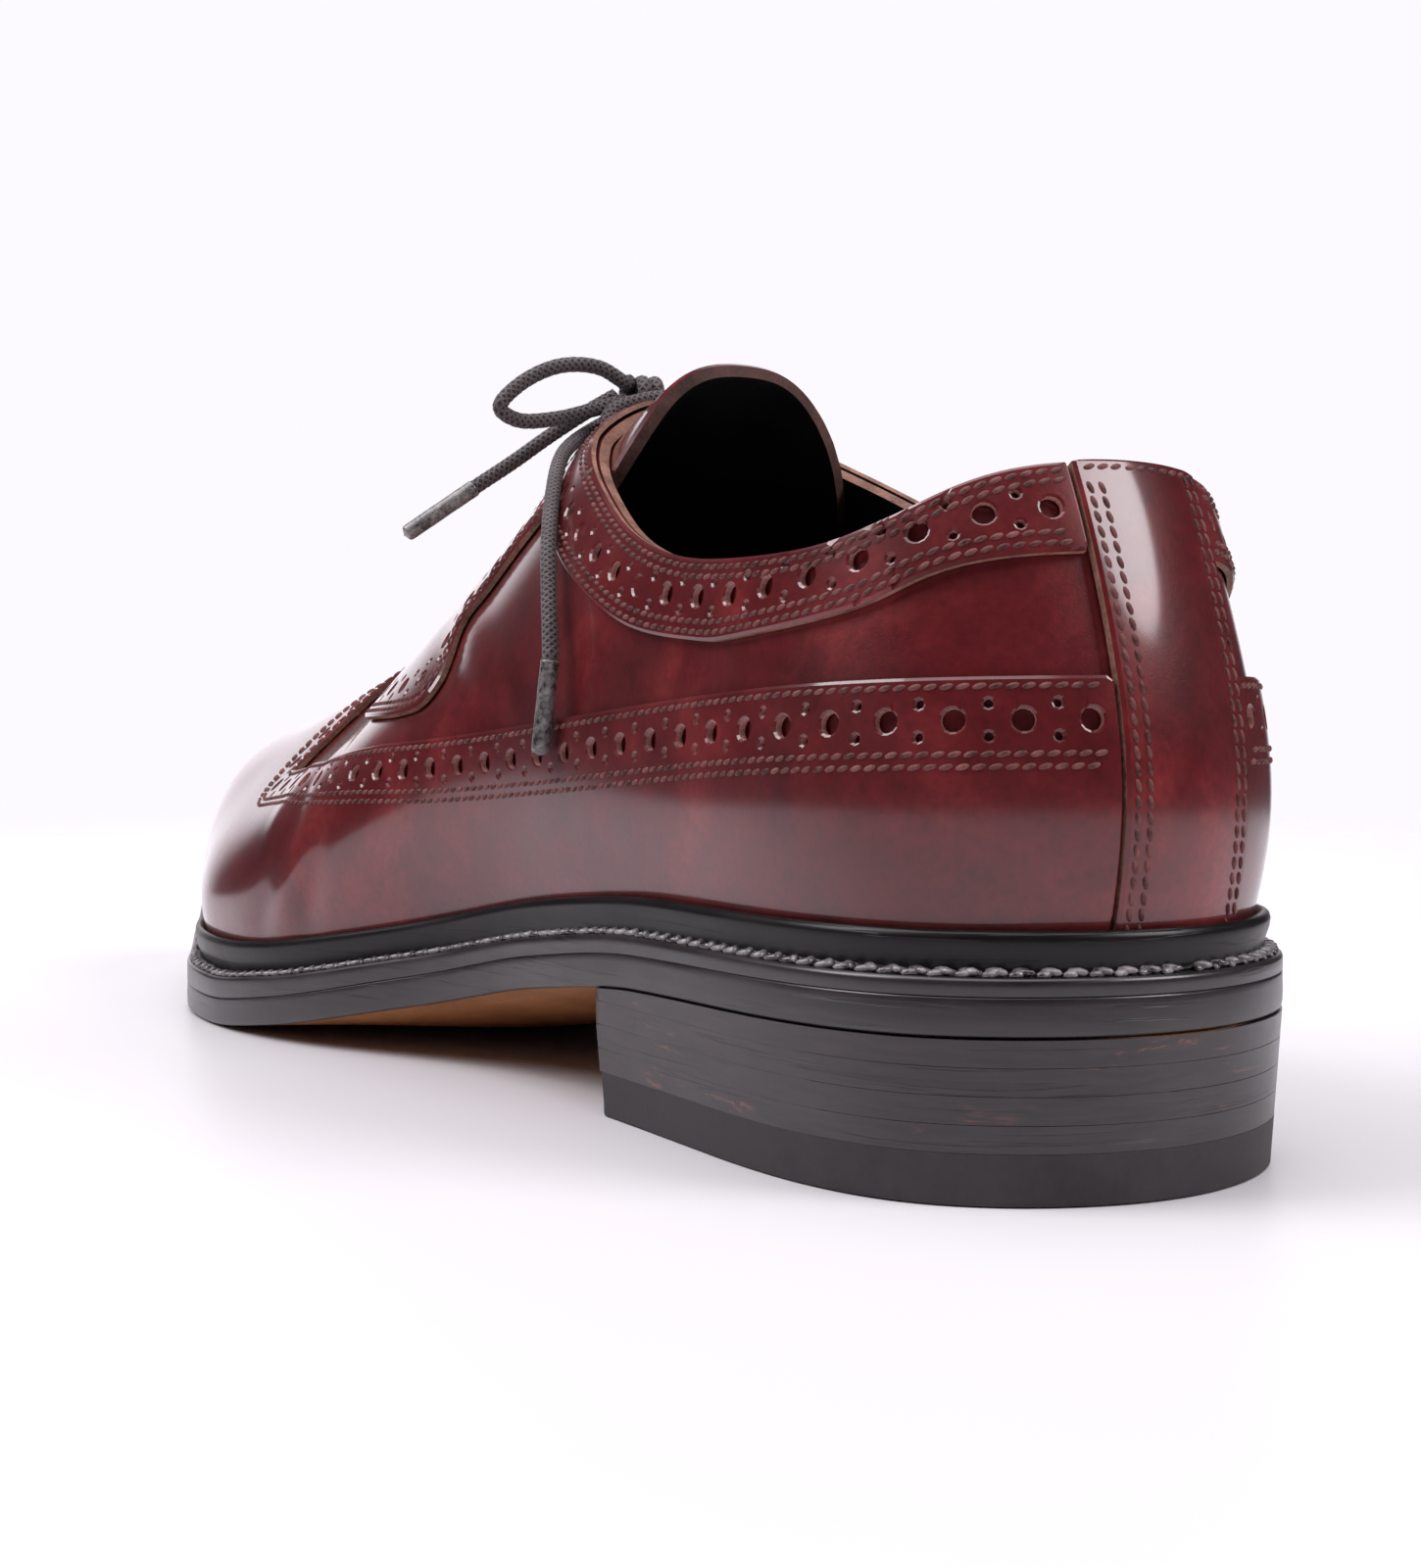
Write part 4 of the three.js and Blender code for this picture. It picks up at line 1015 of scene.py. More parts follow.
def sheet_mesh(name: str, columns: int, rows: int, laid: Callable[[Array, Array], Array],
               kinds: Callable[[Array, Array], Array] | None = None, closed: bool = True) -> Mesh:
    """Net that is bent into its shape.

    Args:
        name: Name of the mesh.
        columns: Steps along the net.
        rows: Steps across it.
        laid: Gives the points in metres for shares s along and t across.
        kinds: Gives the material index of a face from the shares at its middle.
        closed: Whether its seams are joined and its faces turned outwards.

    Returns:
        The mesh, with the shares kept as its UV map.
    """
    bm = bmesh.new()
    bmesh.ops.create_grid(bm, x_segments=columns, y_segments=rows, size=0.5)
    uv = bm.loops.layers.uv.new("run")
    shares = np.array([vert.co[:2] for vert in bm.verts]) + 0.5
    for face in bm.faces:
        face.smooth = True
        for loop in face.loops:
            loop[uv].uv = (loop.vert.co.x + 0.5, loop.vert.co.y + 0.5)
    if kinds:
        middles = np.array([face.calc_center_median()[:2] for face in bm.faces]) + 0.5
        for face, kind in zip(bm.faces, kinds(middles[:, 0], middles[:, 1])):
            face.material_index = int(kind)
    for vert, point in zip(bm.verts, laid(shares[:, 0], shares[:, 1])):
        vert.co = point
    if closed:
        bmesh.ops.remove_doubles(bm, verts=bm.verts, dist=2e-6)
        bmesh.ops.dissolve_degenerate(bm, edges=bm.edges, dist=1e-7)
        bmesh.ops.recalc_face_normals(bm, faces=bm.faces)
    return take_mesh(bm, name)


class Graph:
    """Node tree of one procedural material round a single shader."""

    def __init__(self, name: str, **constants: float | Sequence[float]) -> None:
        """Start a material.

        Args:
            name: Name of the material.
            constants: Values set straight on the shader's sockets, with _ for a space.
        """
        self.material = bpy.data.materials.new(name)
        self.material.use_nodes = True
        self.nodes = self.material.node_tree.nodes
        self.shader = self.nodes["Principled BSDF"]
        for key, value in constants.items():
            self.feed(self.shader.inputs[key.replace("_", " ")], value)

    def link(self, start: Socket, end: Socket) -> None:
        """Join two sockets."""
        self.material.node_tree.links.new(start, end)

    def feed(self, socket: Socket, value: Socket | float | Sequence[float]) -> None:
        """Give a socket its value, or a link."""
        if isinstance(value, Socket):
            self.link(value, socket)
        else:
            socket.default_value = (*value, 1.0) if socket.type == "RGBA" else value

    def node(self, kind: str, inputs: dict | None = None, **settings: object) -> bpy.types.Node:
        """Add a node.

        Args:
            kind: Type of the node, without its prefix.
            inputs: Values or sockets for its inputs.
            settings: Its properties.

        Returns:
            The node.
        """
        made = self.nodes.new("ShaderNode" + kind)
        for key, value in settings.items():
            setattr(made, key, value)
        for key, value in (inputs or {}).items():
            self.feed(made.inputs[key], value)
        return made

    def place(self, stretch: Sequence[float] = (1, 1, 1)) -> Socket:
        """Object coordinates, stretched along the axes."""
        coordinates = self.node("TexCoord").outputs["Object"]
        return self.node("Mapping", {"Vector": coordinates, "Scale": tuple(stretch)}).outputs["Vector"]

    def run(self) -> Socket:
        """The piece's own UV map."""
        return self.node("UVMap", uv_map="run").outputs["UV"]

    def noise(self, where: Socket, scale: float, detail: float = 3.0, rough: float = 0.55,
              warp: float = 0.0) -> Socket:
        """Cloudy noise between 0 and 1."""
        inputs = {"Vector": where, "Scale": scale, "Detail": detail, "Roughness": rough, "Distortion": warp}
        return self.node("TexNoise", inputs).outputs["Fac"]

    def cells(self, where: Socket, scale: float) -> Socket:
        """Distance field of small cells."""
        return self.node("TexVoronoi", {"Vector": where, "Scale": scale}).outputs["Distance"]

    def ramp(self, value: Socket, *stops: tuple[float, Colour]) -> Socket:
        """Colour that follows a value through stops."""
        made = self.node("ValToRGB", {"Fac": value})
        elements = made.color_ramp.elements
        for k, (position, colour) in enumerate(stops):
            stop = elements[k] if k < len(elements) else elements.new(position)
            stop.position, stop.color = position, (*colour, 1.0)
        return made.outputs["Color"]

    def sums(self, operation: str, *values: Socket | float) -> Socket:
        """Arithmetic on one, two or three values."""
        made = self.node("Math", operation=operation)
        for socket, value in zip(made.inputs, values):
            self.feed(socket, value)
        return made.outputs[0]

    def weigh(self, first: Socket, share: float, second: Socket) -> Socket:
        """Sum of two values, the first with its share and the second with the rest."""
        return self.sums("ADD", self.sums("MULTIPLY", first, share), self.sums("MULTIPLY", second, 1 - share))

    def span(self, value: Socket, low: float, high: float, to_low: float = 0.0, to_high: float = 1.0) -> Socket:
        """Value carried from one span to another, with soft ends."""
        inputs = {"Value": value, "From Min": low, "From Max": high, "To Min": to_low, "To Max": to_high}
        return self.node("MapRange", inputs, interpolation_type="SMOOTHSTEP").outputs["Result"]

    def blend(self, share: Socket | float, first: Socket | Colour, second: Socket | Colour) -> Socket:
        """Colour between two colours."""
        made = self.node("Mix", data_type="RGBA")
        for number, value in zip((0, 6, 7), (share, first, second)):
            self.feed(made.inputs[number], value)
        return made.outputs[2]

    def bump(self, height: Socket, depth: float, strength: float = 1.0, before: Socket | None = None) -> Socket:
        """Normal that a height in millimetres gives."""
        made = self.node("Bump", {"Height": height, "Distance": depth * MM, "Strength": strength})
        if before:
            self.link(before, made.inputs["Normal"])
        return made.outputs["Normal"]

    def finish(self, **links: Socket) -> Material:
        """Join sockets to the shader and give the material back."""
        for key, value in links.items():
            self.link(value, self.shader.inputs[key.replace("_", " ")])
        return self.material


class WorldGraph(Graph):
    """Node tree of the surroundings."""

    def __init__(self, world: bpy.types.World) -> None:
        """Start from the world's own background shader."""
        self.material = world
        self.nodes = world.node_tree.nodes
        self.shader = self.nodes["Background"]


@dataclass(frozen=True)
class PolishedCalf:
    """Burnished calf with cloudy dye, fine pores and a waxed shine."""

    name: str = "oxblood_calf"
    deep: Colour = (0.040, 0.0042, 0.0060)
    middle: Colour = (0.122, 0.0100, 0.0125)
    bright: Colour = (0.290, 0.0320, 0.0320)
    shine: float = 0.34
    wax: float = 1.0

    def material(self) -> Material:
        """Build the material."""
        g = Graph(self.name, Specular_IOR_Level=0.22, Coat_Weight=self.wax, Coat_Roughness=0.12, Coat_IOR=1.5)
        where = g.place()
        clouds = g.noise(where, 34.0, 5.0, 0.6, 0.6)
        blots = g.noise(where, 120.0, 4.0, 0.6, 0.3)
        specks = g.noise(where, 900.0, 2.0, 0.5)
        tone = g.weigh(clouds, 0.72, blots)
        dye = g.ramp(tone, (0.30, self.deep), (0.52, self.middle), (0.76, self.bright))
        dye = g.blend(g.span(specks, 0.35, 0.8, 0.0, 0.35), dye, self.deep)
        pores = g.cells(where, 1900.0)
        grain = g.noise(where, 1300.0, 3.0, 0.6)
        relief = g.bump(g.noise(where, 75.0, 3.0, 0.5), 0.30, 0.20)
        relief = g.bump(grain, 0.035, 0.55, relief)
        relief = g.bump(g.span(pores, 0.0, 0.32), 0.03, 0.5, relief)
        rough = g.span(g.noise(where, 60.0, 3.0), 0.2, 0.8, self.shine - 0.05, self.shine + 0.10)
        return g.finish(Base_Color=dye, Roughness=rough, Normal=relief)


@dataclass(frozen=True)
class RawEdge:
    """Cut edge of leather, fibrous and a little darkened by dye."""

    name: str = "raw_edge"
    dark: Colour = (0.075, 0.026, 0.020)
    light: Colour = (0.400, 0.210, 0.150)

    def material(self) -> Material:
        """Build the material."""
        g = Graph(self.name, Specular_IOR_Level=0.3)
        where = g.place()
        fibres = g.noise(where, 1500.0, 4.0, 0.7)
        patches = g.noise(where, 160.0, 3.0, 0.6)
        tone = g.weigh(fibres, 0.5, patches)
        colour = g.ramp(tone, (0.32, self.dark), (0.66, self.light))
        return g.finish(Base_Color=colour, Roughness=g.span(fibres, 0.2, 0.8, 0.55, 0.85),
                        Normal=g.bump(fibres, 0.12, 0.8))


@dataclass(frozen=True)
class SmoothLining:
    """Black lining leather, dull and finely grained."""

    name: str = "black_lining"
    dark: Colour = (0.0045, 0.0042, 0.0045)
    light: Colour = (0.013, 0.012, 0.0125)

    def material(self) -> Material:
        """Build the material."""
        g = Graph(self.name, Specular_IOR_Level=0.35)
        where = g.place()
        grain = g.cells(where, 1500.0)
        patches = g.noise(where, 70.0, 4.0, 0.6)
        colour = g.ramp(patches, (0.3, self.dark), (0.7, self.light))
        return g.finish(Base_Color=colour, Roughness=g.span(patches, 0.2, 0.8, 0.55, 0.75),
                        Normal=g.bump(grain, 0.05, 0.6))


@dataclass(frozen=True)
class WaxedThread:
    """Twisted thread with a little wax on it."""

    name: str = "brown_thread"
    dark: Colour = (0.055, 0.016, 0.015)
    light: Colour = (0.260, 0.100, 0.090)
    shine: float = 0.50
    gloss: float = 0.25

    def material(self) -> Material:
        """Build the material."""
        g = Graph(self.name, Specular_IOR_Level=self.gloss)
        where = g.place()
        tone = g.noise(where, 420.0, 3.0, 0.65)
        colour = g.ramp(tone, (0.35, self.dark), (0.72, self.light))
        twist = g.noise(g.place((1.0, 1.0, 2.2)), 2400.0, 2.0)
        return g.finish(Base_Color=colour, Roughness=g.span(tone, 0.2, 0.8, self.shine - 0.1, self.shine + 0.15),
                        Normal=g.bump(twist, 0.08, 0.7))


@dataclass(frozen=True)
class InkedLeather:
    """Sole and heel leather that is inked, waxed and burnished over its layers."""

    name: str
    dark: Colour
    light: Colour
    streak: Colour
    layers: float
    streaks: float
    shine: float
    wax: float = 0.25
    gloss: float = 0.5
    scored: float = 0.5

    def material(self) -> Material:
        """Build the material."""
        g = Graph(self.name, Specular_IOR_Level=self.gloss, Coat_Weight=self.wax, Coat_Roughness=0.22)
        where = g.place()
        long_ = g.place((1.0, 1.0, 9.0))
        layered = g.noise(long_, self.layers, 4.0, 0.6, 0.25)
        patches = g.noise(where, 45.0, 4.0, 0.6)
        tone = g.weigh(layered, 0.6, patches)
        colour = g.ramp(tone, (0.34, self.dark), (0.70, self.light))
        rubbed = g.noise(g.place((1.0, 1.0, 5.0)), 130.0, 5.0, 0.7, 0.4)
        where_rubbed = g.noise(g.place((1.0, 1.0, 2.5)), 34.0, 2.0, 0.5)
        both = g.sums("MULTIPLY", g.span(rubbed, 0.54, 0.68), g.span(where_rubbed, 0.56, 0.68))
        colour = g.blend(g.sums("MULTIPLY", both, self.streaks), colour, self.streak)
        lines = g.noise(g.place((0.35, 0.35, 14.0)), 60.0, 3.0, 0.6, 0.3)
        scored = g.span(lines, 0.36, 0.40)
        colour = g.blend(g.span(scored, 0.0, 1.0, self.scored, 0.0), colour, (0.004, 0.003, 0.003))
        relief = g.bump(scored, 0.05, 0.6)
        relief = g.bump(g.noise(where, 700.0, 3.0, 0.6), 0.05, 0.35, relief)
        rough = g.span(patches, 0.2, 0.8, self.shine - 0.06, self.shine + 0.12)
        return g.finish(Base_Color=colour, Roughness=rough, Normal=relief)


@dataclass(frozen=True)
class TanSole:
    """Underside of a leather sole, tan with walked-in blotches."""

    name: str = "tan_sole"
    dark: Colour = (0.215, 0.070, 0.020)
    light: Colour = (0.430, 0.175, 0.060)

    def material(self) -> Material:
        """Build the material."""
        g = Graph(self.name, Specular_IOR_Level=0.45, Coat_Weight=0.12, Coat_Roughness=0.3)
        where = g.place()
        clouds = g.noise(where, 26.0, 5.0, 0.6, 0.5)
        fibres = g.noise(g.place((0.5, 1.5, 1.0)), 620.0, 4.0, 0.65)
        tone = g.weigh(clouds, 0.65, fibres)
        colour = g.ramp(tone, (0.32, self.dark), (0.68, self.light))
        return g.finish(Base_Color=colour, Roughness=g.span(clouds, 0.2, 0.8, 0.40, 0.60),
                        Normal=g.bump(fibres, 0.06, 0.6))


@dataclass(frozen=True)
class HeelRubber:
    """Charcoal rubber with a faint moulded grain and dust."""

    name: str = "charcoal_rubber"
    dark: Colour = (0.020, 0.016, 0.018)
    light: Colour = (0.048, 0.040, 0.045)

    def material(self) -> Material:
        """Build the material."""
        g = Graph(self.name, Specular_IOR_Level=0.4)
        where = g.place()
        dust = g.noise(where, 90.0, 5.0, 0.65)
        grit = g.noise(where, 1600.0, 2.0)
        colour = g.ramp(dust, (0.34, self.dark), (0.70, self.light))
        return g.finish(Base_Color=colour, Roughness=g.span(dust, 0.2, 0.8, 0.42, 0.62),
                        Normal=g.bump(grit, 0.05, 0.6))


@dataclass(frozen=True)
class WaxedBraid:
    """Round braided lace: crossing strands with painted shade in their grooves, waxed, with pale flecks."""

    name: str = "braid_groove_shaded"
    dark: Colour = (0.026, 0.019, 0.021)
    light: Colour = (0.130, 0.104, 0.108)
    fleck: Colour = (0.300, 0.265, 0.260)
    strands: int = 6
    lay: float = 3.2

    def material(self) -> Material:
        """Build the material."""
        g = Graph(self.name, Specular_IOR_Level=0.4, Sheen_Weight=0.15)
        parts = g.node("SeparateXYZ", {"Vector": g.run()})
        along = g.sums("MULTIPLY", parts.outputs[0], 2 * math.pi * self.strands / self.lay / 2)
        around = g.sums("MULTIPLY", parts.outputs[1], 2 * math.pi * self.strands)
        left = g.sums("SINE", g.sums("ADD", along, around))
        right = g.sums("SINE", g.sums("SUBTRACT", along, around))
        weave = g.sums("MAXIMUM", left, right)
        where = g.place()
        fibres = g.noise(where, 2600.0, 3.0, 0.7)
        worn = g.noise(where, 240.0, 3.0)
        # Painted shade: the colour follows the weave, darker in the grooves between strands and lighter on their
        # crowns.
        colour = g.ramp(g.span(weave, -0.3, 1.0), (0.0, self.dark), (0.9, self.light))
        colour = g.blend(g.span(fibres, 0.60, 0.74, 0.0, 0.55), colour, self.fleck)
        colour = g.blend(g.span(worn, 0.3, 0.7, 0.0, 0.35), colour, self.dark)
        relief = g.bump(weave, 0.16, 0.75)
        relief = g.bump(fibres, 0.05, 0.6, relief)
        return g.finish(Base_Color=colour, Roughness=g.span(fibres, 0.3, 0.7, 0.52, 0.72), Normal=relief)


@dataclass(frozen=True)
class AgletFilm:
    """Clear hard film over the braid, scuffed and speckled."""

    name: str = "aglet_film"
    dark: Colour = (0.035, 0.030, 0.030)
    light: Colour = (0.330, 0.310, 0.300)

    def material(self) -> Material:
        """Build the material."""
        g = Graph(self.name, Specular_IOR_Level=0.5, Coat_Weight=0.8, Coat_Roughness=0.12)
        where = g.place()
        specks = g.noise(where, 1100.0, 3.0, 0.7)
        patches = g.noise(where, 220.0, 3.0, 0.6)
        tone = g.weigh(specks, 0.6, patches)
        colour = g.ramp(tone, (0.38, self.dark), (0.64, self.light))
        return g.finish(Base_Color=colour, Roughness=g.span(specks, 0.3, 0.7, 0.25, 0.45),
                        Normal=g.bump(patches, 0.12, 0.6))


def held(finish: object) -> Material:
    """Field that holds the material of a finish."""
    return field(default_factory=finish.material)


@dataclass
class Finishes:
    """All the materials of the shoe, made once."""

    calf: Material = held(PolishedCalf())
    raw: Material = held(RawEdge())
    # Walls of the brogue holes: pale pink that is partly the raw cut edge and partly painted highlight of the punched
    # rim.
    hole: Material = held(RawEdge(
        "brogue_edge_highlit", (0.230, 0.080, 0.072), (0.620, 0.330, 0.290)))
    tongue_edge: Material = held(RawEdge(
        "tongue_edge", (0.020, 0.008, 0.008), (0.140, 0.062, 0.048)))
    lining: Material = held(SmoothLining())
    thread: Material = held(WaxedThread())
    # Welt thread: its pale stop is partly the thread's own grey and partly painted glint, scattered by noise over the
    # beads.
    welt_thread_with_glints: Material = held(WaxedThread(
        "welt_thread_with_glints", (0.018, 0.013, 0.015), (0.400, 0.365, 0.375), 0.26, 0.8))
    welt: Material = held(InkedLeather(
        "black_welt", (0.004, 0.0035, 0.004), (0.011, 0.009, 0.010), (0.05, 0.02, 0.02), 90.0, 0.15, 0.34, 0.12, 0.22))
    lip: Material = held(RawEdge(
        "welt_lip", (0.060, 0.040, 0.036), (0.215, 0.155, 0.140)))
    sole_edge: Material = held(InkedLeather(
        "inked_sole_edge", (0.010, 0.007, 0.0085), (0.034, 0.023, 0.028), (0.12, 0.050, 0.038), 110.0, 0.3, 0.32, 0.35))
    stack: Material = held(InkedLeather(
        "stacked_heel", (0.011, 0.0072, 0.009), (0.040, 0.027, 0.032), (0.260, 0.085, 0.055), 120.0, 0.95, 0.32, 0.35))
    sole: Material = held(TanSole())
    rubber: Material = held(HeelRubber())
    braid: Material = held(WaxedBraid())
    aglet: Material = held(AgletFilm())


NODES = {
    "shell": "upper",
    "wing": "longwing",
    "heel_strap": "backstrap",
    "eyestay_lateral": "facing_lateral",
    "eyestay_medial": "facing_medial",
}


@dataclass
class Upper:
    """Leather pieces over the last: shell, wing, facings, strap and tongue."""

    last: Last
    place: Place
    finishes: Finishes
    wall: float = 2.2
    overlay: float = 1.2
    strap: float = 1.7
    strap_width: float = 20.6
    strap_shift: float = 2.8
    tongue: float = 2.4
    tongue_width: float = 54.0
    tongue_root: float = 34.0
    tongue_top: float = 0.345
    tongue_end: float = 0.615
    facing_gap: float = 11.0
    throat_gap: float = 6.0
    facing_top: float = 0.36
    throat: float = 0.585
    eyelets: int = 5
    eyelet_pitch: float = 10.6
    first_eyelet: float = 0.412
    eyelet_inset: float = 7.5
    eyelet_bore: float = 3.4
    hole: float = 1.45
    pinhole: float = 0.6
    hole_pitch: float = 8.1
    chart: Chart = field(init=False)
    fields: Fields = field(init=False)
    seams: Stitching = field(init=False)

    def __post_init__(self) -> None:
        """Draw the edges on the last."""
        self.chart = Chart(self.last)
        self.fields = Fields(self.chart, self)
        self.seams = Stitching(1.85, 0.85, 2.0, 14.0)

    def half_gap(self, x: Array) -> Array:
        """Half the opening between the facings."""
        share = (np.asarray(x) / self.last.length - self.facing_top) / (self.throat - self.facing_top)
        return mix(self.facing_gap, self.throat_gap, share) / 2

    def over_plan(self, x: float, y: float) -> tuple[float, float]:
        """Place of the surface point that lies at x, y seen from above."""
        gap = np.hypot(self.chart.points[..., 0] - x, self.chart.points[..., 1] - y)
        gap[:, : 2 * self.chart.per_level] = np.inf
        i, j = np.unravel_index(np.argmin(gap), gap.shape)
        u, v = float(self.chart.u[i, j]), float(self.chart.v[i, j])
        for _ in range(6):
            along, up = self.last.slopes(u, v)
            miss = np.array([x, y]) - self.last.surface(u, v)[:2]
            det = along[0] * up[1] - along[1] * up[0]
            if abs(det) < 1e-6:
                break
            u += float(np.clip((miss[0] * up[1] - miss[1] * up[0]) / det, -0.2, 0.2))
            v = float(np.clip(v + (miss[1] * along[0] - miss[0] * along[1]) / det, 0, TOP))
        return u % AROUND, v

    def eyelet_spots(self, side: int) -> list[tuple[float, float]]:
        """Places of one side's eyelets, from the collar forward."""
        spots = []
        for i in range(self.eyelets):
            x = self.first_eyelet * self.last.length + i * self.eyelet_pitch
            spots.append(self.over_plan(x, side * (float(self.half_gap(x)) + self.eyelet_inset)))
        return spots

    def edge_line(self, values: Array) -> Array:
        """Points of the last along the edges that a field draws."""
        lines = [self.last.surface(*chain.T) for chain in self.chart.contours(values)]
        return np.vstack([resample(line, 0.5) for line in lines])

    def rows(self, values: Array, region: Array, clear: float, lift: float) -> list[tuple[Array, Array]]:
        """Lines at which a field is nil, kept inside a region.

        Args:
            values: Field over the chart.
            region: Field that is positive inside the piece.
            clear: Least value of the region along the lines.
            lift: Height over the last.

        Returns:
            Points and outward directions of each run.
        """
        runs = []
        for chain in self.chart.contours(values):
            inside = self.chart.read(region, *chain.T) > clear
            breaks = np.nonzero(np.diff(inside.astype(int)))[0] + 1
            for part, first in zip(np.split(chain, breaks), np.split(inside, breaks)):
                if not first[0] or len(part) < 6:
                    continue
                points = self.last.point(*part.T, np.full(len(part), lift))
                normals = self.last.outward(*part.T)
                for _ in range(2):
                    points[1:-1] = (points[:-2] + 2 * points[1:-1] + points[2:]) / 4
                runs.append((points, normals))
        return runs

    def sew_rows(self, distance: Array, steps: Sequence[float | Array], region: Array, lift: float,
                 clear: float = 0.5) -> None:
        """Sew rows of stitches at distances from an edge."""
        for k, step in enumerate(steps):
            for points, normals in self.rows(distance - step, region, clear, lift):
                self.seams.sew(points, normals, 0.06, 0.5 * (k % 2))

    def brogue(self, values: Array, region: Array, clear: float, half: float) -> list[Hole]:
        """Large holes with pairs of pinholes between them, along the lines where a field is nil.

        Args:
            values: Field over the chart.
            region: Field that is positive inside the piece.
            clear: Least value of the region at a hole.
            half: Half the distance of a pair of pinholes.

        Returns:
            The holes.
        """
        holes: list[Hole] = []
        for points, normals in self.rows(values, region, clear, 0.0):
            along = arc_lengths(points)
            count = int((along[-1] - 1.0) / self.hole_pitch)
            if count < 1:
                continue
            pitch = (along[-1] - 1.0) / count
            for k in range(2 * count + 1):
                at, large = 0.5 + 0.5 * k * pitch, k % 2 == 0
                spot, ahead, behind = (along_line(at + move, along, points) for move in (0.0, 0.5, -0.5))
                across = unit(np.cross(unit(along_line(at, along, normals)), ahead - behind))
                nearest = np.argmin(((self.chart.points - spot) ** 2).sum(-1))
                start = self.chart.u.flat[nearest], self.chart.v.flat[nearest]
                for target in [spot] if large else [spot + across * half, spot - across * half]:
                    u, v = self.last.settle(*start, target, 6)
                    holes.append(Hole(float(u), float(v), self.hole if large else self.pinhole, 14 if large else 8))
        return holes

    def medallion(self) -> list[Hole]:
        """Rings and trails of holes on top of the toe."""
        x0 = 0.775 * self.last.length
        y0 = float(self.last.middle(x0))
        spots = [(0.0, 0.0, 1.3)]
        spots += [(5.2 * math.cos(a), 5.2 * math.sin(a), 0.85) for a in np.arange(6) * math.pi / 3]
        spots += [(9.4 * math.cos(a), 9.4 * math.sin(a), 0.6) for a in (np.arange(12) + 0.5) * math.pi / 6]
        for sign in (-1, 1):
            spots += [(sign * 13.0, 0.0, 0.9), (sign * 16.6, 2.2, 0.6), (sign * 16.6, -2.2, 0.6)]
            spots += [(3.2, sign * 13.4, 0.6), (-3.2, sign * 13.4, 0.6), (0.0, sign * 16.4, 0.85)]
        holes = []
        for dx, dy, radius in spots:
            u, v = self.over_plan(x0 + dx, y0 + dy)
            holes.append(Hole(u, v, radius, 12 if radius > 1 else 8))
        return holes

    def leather(self, name: str, region: Array, lift: float, thickness: float, holes: Sequence[Hole] = (),
                skived: float = 0.35) -> None:
        """Make one of the calf pieces, with its raw cut edge."""
        piece = PatternPiece(name, self.chart, region, lift, thickness, holes=holes, skived=skived)
        materials = [self.finishes.calf, self.finishes.lining, self.finishes.raw, self.finishes.hole]
        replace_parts(piece.make(self.place, "upper_leather", materials), NODES[name])

    def build(self) -> None:
        """Make every leather piece and its stitches."""
        f, gap = self.fields, self.last.gap
        x, y = self.chart.points[..., 0], self.chart.points[..., 1]
        top = gap + self.overlay
        spots = [spot for side in (LATERAL, MEDIAL) for spot in self.eyelet_spots(side)]
        eyelets = [Hole(u, v, self.eyelet_bore / 2, 14) for u, v in spots]
        self.leather("shell", np.minimum(f.topline, f.slit), -self.wall, self.wall, eyelets)

        wing_region = np.minimum(f.wing, f.strap - gap)
        wing_line = self.edge_line(f.wing)
        from_wing = self.chart.distance_to(wing_line)
        band = mix(9.4, 7.8, smooth((x - 60.0) / 130.0))
        holes = self.brogue(from_wing - (band + 1.2) / 2, wing_region, 2.4, 2.0) + self.medallion()
        self.leather("wing", wing_region, gap, self.overlay, holes)
        self.sew_rows(from_wing, [1.25, band, band + 1.5], wing_region, top)

        from_band = self.chart.distance_to(self.edge_line(f.band))
        from_top = self.chart.distance_to(self.edge_line(f.topline))
        for side, name in ((LATERAL, "eyestay_lateral"), (MEDIAL, "eyestay_medial")):
            region = np.minimum.reduce([f.band, f.topline, f.slit, f.strap - gap, f.throat, side * y])
            holes = self.brogue(from_band - 5.9, region, 2.6, 2.0)
            own = [hole for hole in eyelets if (hole.u < LAST_STATION) == (side == LATERAL)]
            far = [h for h in holes if all(math.hypot((h.u - e.u) * 24, (h.v - e.v) * 16) > 4.2 for e in own)]
            self.leather(name, region, gap, self.overlay, far + own)
            self.sew_rows(from_band, [1.15, 2.55], region, top)
            self.sew_rows(from_top, [1.2, 2.5], region, top)
            self.sew_rows(np.minimum(f.slit, 60.0), [1.6, 13.2], region, top)

        strap_region = np.minimum(-f.strap, f.topline)
        self.leather("heel_strap", strap_region, gap, self.strap)
        for inset in (1.3, 2.9):
            field_ = np.where(x < SECTIONS[0][0] * self.last.length, -f.strap - inset, -99.0)
            self.sew_rows(field_, [0.0], np.minimum(strap_region, self.chart.v * 20 - 3.0), gap + self.strap)
        self.sew_rows(from_top, [1.2], strap_region, gap + self.strap)
        self.seams.make("upper_stitches", self.place, "upper_leather", self.finishes.thread)
        self._tongue()

